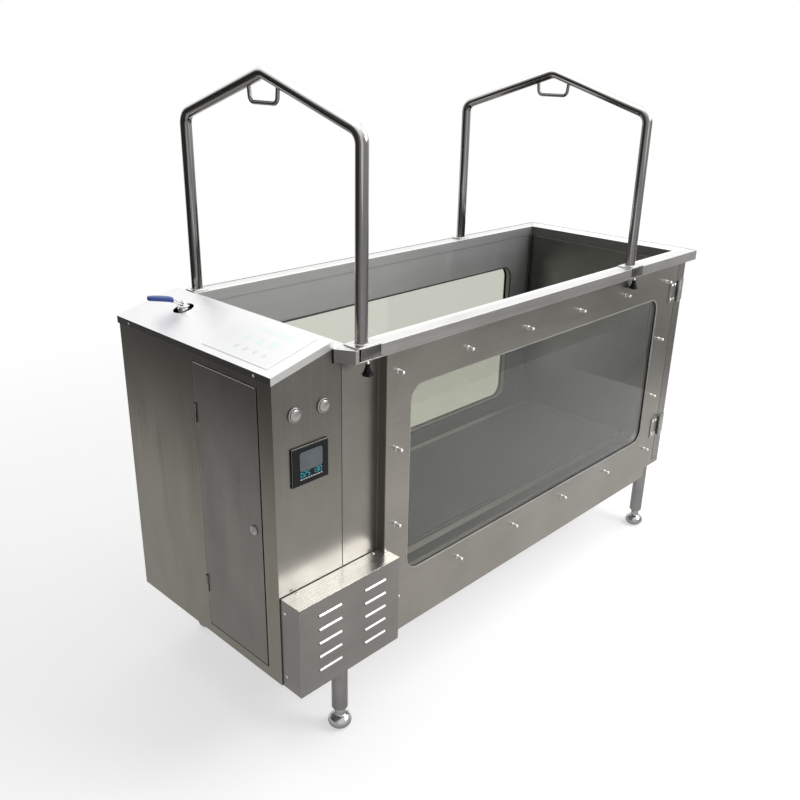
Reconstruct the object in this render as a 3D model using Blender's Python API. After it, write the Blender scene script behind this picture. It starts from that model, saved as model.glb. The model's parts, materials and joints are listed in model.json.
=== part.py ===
"""Dog underwater treadmill: a stainless tank with windows, an entry door, a walking deck and two arches.

X runs along the machine from the cabinet to the entry door, Y from the near side to the far side, Z up.
All sizes are metres. Sizes below are measured from the cabinet's outer end, its near face and its underside,
and every object is then shifted so that the floor point under the middle of the machine is the origin.
"""
import math

import bmesh
import bpy
from mathutils import Vector

# Sheet, clearances and roundness.
SHEET = 0.0025
GAP = 0.0003
RUN_GAP = 0.0003
SEAT_GAP = 0.0005
SMALL = 12
ROUND = 20
LARGE = 28
BELT_STEPS = 12
FLAT_FACTOR = 1 / math.cos(math.radians(90.0 / BELT_STEPS * 1.1))

# Lengths along the machine: cabinet, neck of the tank, wide body of the tank, entry door.
CABINET_LENGTH = 0.2398
NECK_LENGTH = 0.1437
BODY_LENGTH = 1.716
END_DOOR_DEPTH = 0.054
TANK_X = CABINET_LENGTH + SEAT_GAP
BODY_X = TANK_X + NECK_LENGTH
TANK_END = BODY_X + BODY_LENGTH

# Widths across the machine.
CABINET_WIDTH = 0.750
TANK_INNER_WIDTH = 0.720
BODY_DEPTH = 0.0332
PANEL_THICKNESS = 0.0030
INNER_NEAR = SHEET
INNER_FAR = INNER_NEAR + TANK_INNER_WIDTH
MIDDLE_Y = (INNER_NEAR + INNER_FAR) / 2
BODY_NEAR = INNER_NEAR - BODY_DEPTH
BODY_FAR = INNER_FAR + BODY_DEPTH
NECK_NEAR = INNER_NEAR - SHEET
NECK_FAR = INNER_FAR + SHEET
PANEL_NEAR = BODY_NEAR - GAP - PANEL_THICKNESS
PANEL_FAR = BODY_FAR + GAP + PANEL_THICKNESS

# Heights above the underside of the cabinet.
TANK_BOTTOM = -0.020
RIM_TOP = 0.993
RIM_HEIGHT = 0.038
RIM_SHEET = 0.0030
RIM_BOTTOM = RIM_TOP - RIM_HEIGHT
TANK_TOP = RIM_TOP - RIM_SHEET - GAP
FOOT_BOTTOM = -0.2815

# Cabinet lid, sloping up to the rim.
LID_OVERHANG = 0.004
LID_FRONT_TOP = 0.963
LID_STEP = 0.024
LID_BACK_TOP = RIM_TOP + LID_STEP
LID_BACK_X = CABINET_LENGTH - 0.0308
LID_LIP = 0.022
LID_CLEARANCE = 0.0015
LID_SLOPE = (LID_BACK_TOP - LID_FRONT_TOP) / (LID_BACK_X + LID_OVERHANG)
CABINET_SHOULDER_TOP = RIM_BOTTOM - 0.0030

# Cabinet door on the end face, hinged on its far edge.
DOOR_OPENING_Y = (0.060, 0.3585)
DOOR_OPENING_Z = (0.033, 0.920)
DOOR_NEAR_GAP = 0.006
DOOR_HINGE_GAP = 0.0015
DOOR_EDGE_GAP = 0.003
DOOR_THICKNESS = 0.018
DOOR_STOP_WIDTH = 0.010
DOOR_STOP_X = DOOR_THICKNESS + 0.0010
BULLET_RADIUS = 0.0045
BULLET_HEIGHT = 0.030
BULLET_PIN_RADIUS = 0.0020
BULLET_OFFSET = 0.0015
BULLET_INSET = 0.150
BULLET_LEVELS = (DOOR_OPENING_Z[0] + BULLET_INSET, DOOR_OPENING_Z[1] - BULLET_INSET - 0.010)
LOCK_Y = DOOR_OPENING_Y[0] + 0.042
LOCK_Z = 0.481
LOCK_RADIUS = 0.0115
LOCK_BEZEL_RADIUS = 0.0150
LOCK_BEZEL_DEPTH = 0.0040
CAM_LENGTH = 0.050
CAM_WIDTH = 0.012
CAM_THICKNESS = 0.0020

# Controls on the cabinet.
BUTTON_X = (0.072, 0.173)
BUTTON_Z = 0.841
BUTTON_RADIUS = 0.0178
BUTTON_DOME = 0.0062
BUTTON_TRAVEL = 0.0040
BUTTON_STEM_RADIUS = 0.0100
BUTTON_STEM_LENGTH = 0.022
BEZEL_WIDTH = 0.0042
BEZEL_DEPTH = 0.0060
DISPLAY_X = (0.056, 0.186)
DISPLAY_Z = (0.629, 0.744)
DISPLAY_DEPTH = 0.0065
DISPLAY_BORDER = 0.0085
DISPLAY_BODY_INSET = 0.009
DISPLAY_BODY_DEPTH = 0.030
SCREEN_MARGIN_X = (0.022, 0.018)
SCREEN_MARGIN_Z = (0.015, 0.012)
SCREEN_X = (DISPLAY_X[0] + SCREEN_MARGIN_X[0], DISPLAY_X[1] - SCREEN_MARGIN_X[1])
SCREEN_Z = (DISPLAY_Z[0] + SCREEN_MARGIN_Z[0], DISPLAY_Z[1] - SCREEN_MARGIN_Z[1])
SCREEN_RECESS = 0.0018
SCREEN_THICKNESS = 0.0014
MEMBRANE_MARGIN = 0.0195
MEMBRANE_X = (MEMBRANE_MARGIN, LID_BACK_X - MEMBRANE_MARGIN)
MEMBRANE_Y = (0.040, 0.330)
MEMBRANE_THICKNESS = 0.0012

# Water inlet valve through the lid.
VALVE_X = 0.128
VALVE_Y = CABINET_WIDTH - 0.1625
VALVE_HOLE_RADIUS = 0.0315
VALVE_BODY_RADIUS = 0.0175
VALVE_BONNET_RADIUS = 0.0130
VALVE_BONNET_RISE = 0.0120
VALVE_STEM_RADIUS = 0.0050
VALVE_STEM_RISE = 0.0130
LEVER_LENGTH = 0.104
LEVER_WIDTH = 0.020
LEVER_THICKNESS = 0.0050
LEVER_HUB_RADIUS = 0.0110
LEVER_STEP = 0.0150
LEVER_RISE = 0.0240
LEVER_ANGLE = math.radians(152.0)
INLET_RADIUS = 0.0135
INLET_DROP_Z = 0.860
INLET_BEND = 0.030
PIPE_REACH = 0.0347
PIPE_END_X = TANK_X + PIPE_REACH
VALVE_BONNET_TOP = LID_FRONT_TOP + (VALVE_X + LID_OVERHANG) * LID_SLOPE + VALVE_BONNET_RISE
VALVE_STEM_TOP = VALVE_BONNET_TOP + VALVE_STEM_RISE

# Tank end with its sill, and the raised floor over the right legs.
SILL_BOTTOM = 0.024
SILL_TOP = 0.0465
NOTCH_LENGTH = 0.065
NOTCH_X = TANK_END - NOTCH_LENGTH
END_CURB_TOP = 0.100
BASE_FLANGE_X = CABINET_LENGTH - 0.060

# Side windows, the same on both sides.
WINDOW_MARGIN_LEFT = 0.101
WINDOW_MARGIN_RIGHT = 0.140
WINDOW_X = (BODY_X + WINDOW_MARGIN_LEFT, TANK_END - WINDOW_MARGIN_RIGHT)
WINDOW_Z = (0.183, 0.825)
WINDOW_RADIUS = 0.054
PANEL_TOP = RIM_BOTTOM + 0.007
PANE_THICKNESS = 0.0120
PANE_OVERLAP = 0.028
SEAL_THICKNESS = 0.0020
SEAL_WIDTH = 0.014
SEAT_LIP = 0.0030

# Entry door at the right end, hinged at the near corner.
DOOR_SEAL_SPACE = 0.0040
END_DOOR_X = (TANK_END + DOOR_SEAL_SPACE, TANK_END + DOOR_SEAL_SPACE + END_DOOR_DEPTH)
END_DOOR_BOTTOM = SILL_TOP + 0.0015
END_DOOR_TOP = RIM_BOTTOM - 0.0025
END_DOOR_SHEET = 0.0025
DOOR_SEAL_WIDTH = 0.018
HINGE_X = END_DOOR_X[0] + 0.006
HINGE_OFFSET = 0.0120
HINGE_Y = PANEL_NEAR - HINGE_OFFSET
HINGE_BARREL_RADIUS = 0.0090
HINGE_PIN_RADIUS = 0.0045
HINGE_HALF_HEIGHT = 0.045
HINGE_LEAF = 0.0032
HINGE_FIXED_LEAF_X = TANK_END - 0.053
HINGE_MOVING_LEAF_X = END_DOOR_X[1] - 0.002
HINGE_LEVELS = (0.217, 0.832)
PULL_LEVEL = 0.560
PULL_HALF_HEIGHT = 0.060
PULL_Y = PANEL_FAR - 0.159
PULL_RADIUS = 0.0050
PULL_REACH = 0.030

# Lever latches near the far edge of the entry door, and their keepers on the far panel.
LATCH_LEVELS = (0.260, 0.740)
LATCH_Y = PANEL_FAR - 0.037
LATCH_SHAFT_RADIUS = 0.0060
LATCH_HUB_RADIUS = 0.0130
LATCH_COLLAR_RADIUS = 0.0100
LATCH_COLLAR_THICKNESS = 0.0040
TONGUE_REACH = 0.054
TONGUE_WIDTH = 0.016
TONGUE_THICKNESS = 0.0060
LATCH_GRIP_LENGTH = 0.092
LATCH_GRIP_WIDTH = 0.018
LATCH_GRIP_THICKNESS = 0.0070
LATCH_GRIP_OFFSET = 0.0100
KEEPER_THICKNESS = 0.0035
KEEPER_HALF_HEIGHT = 0.022
KEEPER_LIP_Y = PANEL_FAR + 0.021
KEEPER_PLATE_X = TANK_END - 0.060

# Rim channel around the tank top.
RIM_OVERHANG = 0.0273
RIM_OUTER_NEAR = BODY_NEAR - RIM_OVERHANG
RIM_INNER_NEAR = INNER_NEAR + SHEET + SEAT_GAP
RIM_LEFT_X = LID_BACK_X + SEAT_GAP
RIM_CHAMFER_X = RIM_LEFT_X + 0.0305
RIM_CHAMFER_Y = NECK_NEAR - 0.0045
RIM_INNER_LEFT_X = TANK_X + 0.0217
RIM_INNER_CHAMFER = 0.008
RIM_INNER_RIGHT_X = TANK_END + 0.005
RIM_END_OVERHANG = 0.037
RIM_RIGHT_X = END_DOOR_X[1] + RIM_END_OVERHANG

# Arches: each stands on a near foot and a far foot on the rim.
ARCH_RADIUS = 0.0180
ARCH_NEAR_Y = RIM_OUTER_NEAR + 0.032
ARCH_FAR_Y = 2 * MIDDLE_Y - RIM_OUTER_NEAR - 0.026
ARCH_RISE = 0.552
ARCH_PEAK_RISE = 0.130
ARCH_SHOULDER_Z = RIM_TOP + ARCH_RISE
ARCH_APEX_Z = ARCH_SHOULDER_Z + ARCH_PEAK_RISE
ARCH_SHOULDER_BEND = 0.045
ARCH_APEX_BEND = 0.050
LEFT_ARCH_X = (TANK_X + 0.0497, TANK_X + 0.0497)
RIGHT_ARCH_X = (TANK_END - 0.395, TANK_END - 0.470)
LOOP_RADIUS = 0.0050
LOOP_HALF_TOP = 0.068
LOOP_HALF_BOTTOM = 0.052
LOOP_DROP = 0.080
LOOP_BEND = 0.014
FOOT_PLATE = 0.0040
FOOT_PLATE_LEFT = 0.040
FOOT_PLATE_RIGHT = 0.050
FOOT_PLATE_Y = (RIM_OUTER_NEAR + 0.0015, RIM_OUTER_NEAR + 0.062)
FAR_PLATE_HALF_X = 0.030
FAR_PLATE_HALF_Y = 0.0235
SPIGOT_RADIUS = 0.0090
SPIGOT_DEPTH = 0.018

# Clamp at each near foot: a notch in the rim, a tongue on the arch, and a knob from below.
NOTCH_LEFT = 0.038
NOTCH_RIGHT = 0.045
NOTCH_INNER_Y = RIM_OUTER_NEAR + 0.0135
TONGUE_LEFT = 0.030
TONGUE_Y = (RIM_OUTER_NEAR + 0.0005, RIM_OUTER_NEAR + 0.0128)
LEDGE_THICKNESS = 0.0030
LEDGE_INNER_Y = RIM_OUTER_NEAR + 0.0205
KNOB_Y = RIM_OUTER_NEAR + 0.0065
KNOB_RADIUS = 0.0170
KNOB_LOBES = 6
KNOB_BOTTOM = RIM_BOTTOM - 0.053
KNOB_DISC_TOP = KNOB_BOTTOM + 0.016
KNOB_HUB_TOP = KNOB_DISC_TOP + 0.018
STUD_RADIUS = 0.0040
STUD_TOP = RIM_TOP - 0.009

# Vent cover over the belt drive.
VENT_X = (0.004, BODY_X + 0.017)
VENT_DEPTH = 0.083
VENT_Z = (0.0005, 0.300)
VENT_SHEET = 0.0020
SLOT_CENTRES = (0.118, 0.298)
SLOT_LENGTH = 0.092
SLOT_HEIGHT = 0.0060
SLOT_LEVELS = (0.060, 0.107, 0.154, 0.201, 0.248)
HOOD_REACH = 0.0036
HOOD_DROP = 0.0050
HOOD_SHEET = 0.0012

# Legs and levelling feet.
LEG_X = (CABINET_LENGTH - 0.0178, TANK_END - 0.027)
LEG_INSET = 0.0267
LEG_RADIUS = 0.0260
LEG_BORE_DEPTH = 0.080
FOOT_HEIGHT = 0.0745
LEG_BOTTOM = FOOT_BOTTOM + FOOT_HEIGHT
FOOT_STUD_RADIUS = 0.0080
FOOT_STUD_TOP = LEG_BOTTOM + 0.037
FOOT_NECK_RADIUS = 0.0140
FOOT_PAD_RADIUS = 0.0380
FOOT_PAD_HALF_HEIGHT = 0.0165
FOOT_PAD_Z = FOOT_BOTTOM + FOOT_PAD_HALF_HEIGHT
FOOT_BASE_RADIUS = 0.0240

# Walking deck in the tank.
ROLLER_Z = 0.130
ROLLER_RADIUS = 0.0300
SHAFT_RADIUS = 0.0100
DRIVE_ROLLER_X = TANK_X + 0.0847
TAIL_ROLLER_X = TANK_END - 0.065
RAIL_MARGIN = 0.0725
RAIL_WIDTH = 0.030
RAIL_Y = (INNER_NEAR + RAIL_MARGIN, INNER_NEAR + RAIL_MARGIN + RAIL_WIDTH)
RAIL_Z = (0.085, 0.156)
RAIL_X = (DRIVE_ROLLER_X - 0.040, TAIL_ROLLER_X + 0.041)
ROLLER_SIDE_GAP = 0.007
ROLLER_Y = (RAIL_Y[1] + ROLLER_SIDE_GAP, 2 * MIDDLE_Y - RAIL_Y[1] - ROLLER_SIDE_GAP)
BELT_MARGIN = 0.005
BELT_Y = (ROLLER_Y[0] + BELT_MARGIN, ROLLER_Y[1] - BELT_MARGIN)
BELT_THICKNESS = 0.0030
BOARD_X = (DRIVE_ROLLER_X + 0.060, TAIL_ROLLER_X - 0.060)
BOARD_THICKNESS = 0.0200
BELT_INNER_RADIUS = (ROLLER_RADIUS + GAP) * FLAT_FACTOR
BELT_TOP = ROLLER_Z + BELT_INNER_RADIUS + BELT_THICKNESS
BOARD_TOP = ROLLER_Z + BELT_INNER_RADIUS - GAP
CROSS_BAR_COUNT = 5
CROSS_BAR_INSET = (0.135, 0.095)
CROSS_BAR_WIDTH = 0.040
CROSS_BAR_HEIGHT = 0.032
CROSS_BAR_Z = (BOARD_TOP - BOARD_THICKNESS - GAP - CROSS_BAR_HEIGHT, BOARD_TOP - BOARD_THICKNESS - GAP)
DECK_LEG_X = (RAIL_X[0] + 0.135, (RAIL_X[0] + RAIL_X[1]) / 2, RAIL_X[1] - 0.116)
DECK_LEG_WIDTH = 0.040

# Belt drive behind the vent cover.
MOTOR_X = 0.100
PULLEY_CLEARANCE = 0.031
PULLEY_WIDTH = 0.022
PULLEY_Y = (-VENT_DEPTH + PULLEY_CLEARANCE, -VENT_DEPTH + PULLEY_CLEARANCE + PULLEY_WIDTH)
MOTOR_PULLEY_RADIUS = 0.0250
ROLLER_PULLEY_RADIUS = 0.0400
PULLEY_FLANGE = 0.0040
PULLEY_FLANGE_WIDTH = 0.0025
DRIVE_BELT_THICKNESS = 0.0030
MOTOR_SHAFT_RADIUS = 0.0070
MOTOR_SHAFT_REACH = 0.040
MOTOR_RADIUS = 0.0520
MOTOR_LENGTH = 0.200
GEARBOX_LENGTH = 0.0972
GEARBOX_HALF = 0.0580
GEARBOX_BACK_Y = SHEET + GAP + GEARBOX_LENGTH
MOTOR_BACK_Y = GEARBOX_BACK_Y + MOTOR_LENGTH
WALL_SEAL_RADIUS = 0.0240
WALL_SEAL_DEPTH = 0.0080

# Water equipment in the cabinet, and the drain under the tank.
PUMP_X = 0.120
PUMP_LENGTH = 0.200
PUMP_Y = (CABINET_WIDTH - 0.050 - PUMP_LENGTH, CABINET_WIDTH - 0.050)
PUMP_RADIUS = 0.0550
PUMP_Z = SHEET + GAP + PUMP_RADIUS + 0.0172
HEATER_RADIUS = 0.0400
HEATER_X = CABINET_LENGTH - 0.0748
HEATER_STANDOFF = 0.0120
HEATER_BRACKET_WIDTH = 0.030
HEATER_Z = (0.360, 0.760)
CONTROL_BOX_DEPTH = 0.082
CONTROL_BOX_Y = (CABINET_WIDTH - 0.370, CABINET_WIDTH - 0.190)
CONTROL_BOX_Z = (0.420, 0.700)
RETURN_PIPE_RADIUS = 0.0130
RETURN_PIPE_Z = 0.230
DRAIN_X = TANK_X + 0.9097
DRAIN_Y = INNER_FAR - 0.1025
DRAIN_RADIUS = 0.0240
DRAIN_LENGTH = 0.070

# The origin: floor level under the middle of the bounding box.
LOWEST_X = -BULLET_OFFSET - BULLET_RADIUS
HIGHEST_X = RIM_RIGHT_X
LOWEST_Y = -VENT_DEPTH - HOOD_REACH
HIGHEST_Y = 2 * MIDDLE_Y - RIM_OUTER_NEAR
ORIGIN = Vector(((LOWEST_X + HIGHEST_X) / 2, (LOWEST_Y + HIGHEST_Y) / 2, FOOT_BOTTOM))

# Finishes: colour, metallic, roughness.
LOOKS = {
    "brushed": ((0.50, 0.49, 0.47, 1.0), 1.0, 0.36),
    "polished": ((0.72, 0.72, 0.71, 1.0), 1.0, 0.14),
    "cast": ((0.42, 0.42, 0.41, 1.0), 1.0, 0.45),
    "painted": ((0.20, 0.23, 0.26, 1.0), 0.2, 0.45),
    "black": ((0.02, 0.02, 0.02, 1.0), 0.0, 0.45),
    "rubber": ((0.03, 0.03, 0.03, 1.0), 0.0, 0.80),
    "blue": ((0.05, 0.12, 0.48, 1.0), 0.0, 0.40),
    "glass": ((0.62, 0.80, 0.78, 1.0), 0.0, 0.06),
    "screen": ((0.30, 0.36, 0.38, 1.0), 0.0, 0.15),
    "membrane": ((0.86, 0.88, 0.88, 1.0), 0.0, 0.35),
    "board": ((0.12, 0.10, 0.08, 1.0), 0.0, 0.60),
    "pvc": ((0.72, 0.73, 0.72, 1.0), 0.0, 0.40),
}


def mirror_y(y):
    """The same distance on the other side of the tank's middle plane."""
    return 2 * MIDDLE_Y - y


def rim_foot_z():
    """Level where a foot plate stands on the rim."""
    return RIM_TOP + GAP


def lid_top(x):
    """Height of the lid's upper surface at x."""
    return LID_FRONT_TOP + (x + LID_OVERHANG) * LID_SLOPE


def spot(axis, level, a, b):
    """A point with its level along one axis and a, b along the other two in order."""
    if axis == "x":
        return Vector((level, a, b))
    if axis == "y":
        return Vector((a, level, b))
    return Vector((a, b, level))


def block(x, y, z):
    """Rectangular solid between two limits on each axis."""
    bm = bmesh.new()
    bmesh.ops.create_cube(bm, size=1.0)
    for vert in bm.verts:
        vert.co.x = x[0] + (vert.co.x + 0.5) * (x[1] - x[0])
        vert.co.y = y[0] + (vert.co.y + 0.5) * (y[1] - y[0])
        vert.co.z = z[0] + (vert.co.z + 0.5) * (z[1] - z[0])
    return bm


def prism(points, axis, low, high):
    """Solid with one outline, between two levels along an axis."""
    bm = bmesh.new()
    ring = [bm.verts.new(spot(axis, low, a, b)) for a, b in points]
    face = bm.faces.new(ring)
    grown = bmesh.ops.extrude_face_region(bm, geom=[face])
    moved = [item for item in grown["geom"] if isinstance(item, bmesh.types.BMVert)]
    bmesh.ops.translate(bm, verts=moved, vec=spot(axis, high - low, 0.0, 0.0))
    return bm


def lofted_ring(loops, axis):
    """Closed ring through outlines of equal length; each loop is (points, level)."""
    bm = bmesh.new()
    rows = []
    for points, level in loops:
        rows.append([bm.verts.new(spot(axis, level, a, b)) for a, b in points])
    count = len(rows[0])
    for index, row in enumerate(rows):
        other = rows[(index + 1) % len(rows)]
        for k in range(count):
            following = (k + 1) % count
            bm.faces.new((row[k], row[following], other[following], other[k]))
    return bm


def ring_prism(outer, inner, axis, low, high):
    """Ring between an outer and an inner outline."""
    return lofted_ring([(outer, low), (outer, high), (inner, high), (inner, low)], axis)


def circle(a, b, radius, count):
    """Outline of a circle."""
    return [
        (a + radius * math.cos(2 * math.pi * k / count), b + radius * math.sin(2 * math.pi * k / count))
        for k in range(count)
    ]


def rectangle(a, b, grow=0.0):
    """Outline of a rectangle, grown outwards by a margin."""
    return [
        (a[0] - grow, b[0] - grow),
        (a[1] + grow, b[0] - grow),
        (a[1] + grow, b[1] + grow),
        (a[0] - grow, b[1] + grow),
    ]


def rounded_rectangle(a, b, radius, grow=0.0, steps=6):
    """Outline of a rectangle with round corners, grown outwards by a margin."""
    points = []
    arc = radius + grow
    corners = (
        (a[1] - radius, b[0] + radius, -math.pi / 2),
        (a[1] - radius, b[1] - radius, 0.0),
        (a[0] + radius, b[1] - radius, math.pi / 2),
        (a[0] + radius, b[0] + radius, math.pi),
    )
    for centre_a, centre_b, start in corners:
        for k in range(steps + 1):
            angle = start + k * math.pi / 2 / steps
            points.append((centre_a + arc * math.cos(angle), centre_b + arc * math.sin(angle)))
    return points


def turned(axis, centre, profile, count=ROUND):
    """Solid of revolution about an axis through centre; profile is (radius, level) from end to end."""
    bm = bmesh.new()
    rows = []
    for radius, level in profile:
        outline = circle(centre[0], centre[1], radius, count)
        rows.append([bm.verts.new(spot(axis, level, a, b)) for a, b in outline])
    for row, other in zip(rows[:-1], rows[1:]):
        for k in range(count):
            following = (k + 1) % count
            bm.faces.new((row[k], row[following], other[following], other[k]))
    bm.faces.new(rows[0])
    bm.faces.new(rows[-1])
    return bm


def turned_ring(axis, centre, profile, count=ROUND):
    """Ring of revolution; profile is a closed list of (radius, level)."""
    loops = [(circle(centre[0], centre[1], radius, count), level) for radius, level in profile]
    return lofted_ring(loops, axis)


def rounded_path(points, bends, steps=5):
    """Polyline with an arc of the given radius at every inner corner."""
    path = [Vector(points[0])]
    for index, bend in enumerate(bends):
        before = Vector(points[index])
        corner = Vector(points[index + 1])
        after = Vector(points[index + 2])
        into = (corner - before).normalized()
        out = (after - corner).normalized()
        turn = into.angle(out)
        setback = bend * math.tan(turn / 2)
        centre = corner + (out - into).normalized() * (bend / math.cos(turn / 2))
        start = corner - into * setback - centre
        axis = into.cross(out).normalized()
        for k in range(steps + 1):
            angle = turn * k / steps
            side = axis.cross(start)
            path.append(centre + start * math.cos(angle) + side * math.sin(angle))
    path.append(Vector(points[-1]))
    return path


def bar(path, radius, resolution=4):
    """Round bar along a path, made from a curve with a round bevel and filled ends."""
    curve = bpy.data.curves.new("bar_path", "CURVE")
    curve.dimensions = "3D"
    curve.bevel_depth = radius
    curve.bevel_resolution = resolution
    curve.use_fill_caps = True
    spline = curve.splines.new("POLY")
    spline.points.add(len(path) - 1)
    for point, place_at in zip(spline.points, path):
        point.co = (place_at.x, place_at.y, place_at.z, 1.0)
    carrier = bpy.data.objects.new("bar_path", curve)
    bpy.context.scene.collection.objects.link(carrier)
    view = bpy.context.evaluated_depsgraph_get()
    mesh = carrier.evaluated_get(view).to_mesh()
    bm = bmesh.new()
    bm.from_mesh(mesh)
    bmesh.ops.remove_doubles(bm, verts=bm.verts, dist=0.00001)
    bpy.data.objects.remove(carrier, do_unlink=True)
    return bm


def together(parts):
    """Several separate closed shapes in one mesh, for use as one cutter."""
    whole = bmesh.new()
    for part in parts:
        mesh = bpy.data.meshes.new("cutter_part")
        bmesh.ops.recalc_face_normals(part, faces=part.faces)
        part.to_mesh(mesh)
        part.free()
        whole.from_mesh(mesh)
        bpy.data.meshes.remove(mesh)
    return whole


def place(name, bm, pivot, look=None, smooth=True):
    """Object from a mesh in machine coordinates, with its origin on the pivot point."""
    bmesh.ops.recalc_face_normals(bm, faces=bm.faces)
    bmesh.ops.translate(bm, verts=bm.verts, vec=-Vector(pivot))
    mesh = bpy.data.meshes.new(name)
    bm.to_mesh(mesh)
    bm.free()
    if smooth:
        mesh.shade_smooth()
        mesh.set_sharp_from_angle(angle=math.radians(32.0))
    obj = bpy.data.objects.new(name, mesh)
    obj.location = Vector(pivot) - ORIGIN
    bpy.context.scene.collection.objects.link(obj)
    if look:
        colour, metallic, roughness = LOOKS[look]
        material = bpy.data.materials.new(name + "_finish")
        material.use_nodes = True
        shader = material.node_tree.nodes["Principled BSDF"]
        shader.inputs["Base Color"].default_value = colour
        shader.inputs["Metallic"].default_value = metallic
        shader.inputs["Roughness"].default_value = roughness
        mesh.materials.append(material)
    return obj


def combine(obj, operation, bm):
    """Add a Boolean with a hidden helper: UNION adds a shape, DIFFERENCE cuts it away."""
    number = len(obj.modifiers) + 1
    helper = place(f"{obj.name}_helper_{number}", bm, obj.location + ORIGIN, None, smooth=False)
    helper.hide_render = True
    helper.display_type = "WIRE"
    modifier = obj.modifiers.new(f"{operation.lower()}_{number}", "BOOLEAN")
    modifier.operation = operation
    modifier.solver = "EXACT"
    modifier.object = helper
    return helper


def add(obj, bm):
    """Join a shape to an object."""
    return combine(obj, "UNION", bm)


def cut(obj, bm):
    """Cut a shape out of an object."""
    return combine(obj, "DIFFERENCE", bm)


def body_side_profile(low):
    """Side outline of the tank's outer body, with the raised part over the right legs."""
    return [
        (BODY_X, low),
        (NOTCH_X, low),
        (NOTCH_X, SILL_BOTTOM),
        (TANK_END, SILL_BOTTOM),
        (TANK_END, TANK_TOP),
        (BODY_X, TANK_TOP),
    ]


def inset_profile():
    """The same side outline, one sheet thickness inside."""
    return [
        (BODY_X + SHEET, TANK_BOTTOM + SHEET),
        (NOTCH_X - SHEET, TANK_BOTTOM + SHEET),
        (NOTCH_X - SHEET, SILL_BOTTOM + SHEET),
        (TANK_END - SHEET, SILL_BOTTOM + SHEET),
        (TANK_END - SHEET, TANK_TOP - SHEET),
        (BODY_X + SHEET, TANK_TOP - SHEET),
    ]


def window_outline(grow):
    """Outline of the window opening, grown by a margin."""
    return rounded_rectangle(WINDOW_X, WINDOW_Z, WINDOW_RADIUS, grow)


def window_frame(outer_y, direction):
    """Stepped frame that holds the pane: a seat with a lip around it, joined to the inner skin."""
    seat_y = outer_y + direction * (SEAL_THICKNESS + PANE_THICKNESS + 2 * GAP)
    skin_y = outer_y + direction * (BODY_DEPTH - SHEET / 2)
    pocket = PANE_OVERLAP + GAP
    outside = pocket + SEAT_LIP
    loops = [
        (window_outline(outside), outer_y),
        (window_outline(outside), skin_y),
        (window_outline(0.0), skin_y),
        (window_outline(0.0), seat_y),
        (window_outline(pocket), seat_y),
        (window_outline(pocket), outer_y),
    ]
    return lofted_ring(loops, "y")


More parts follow.
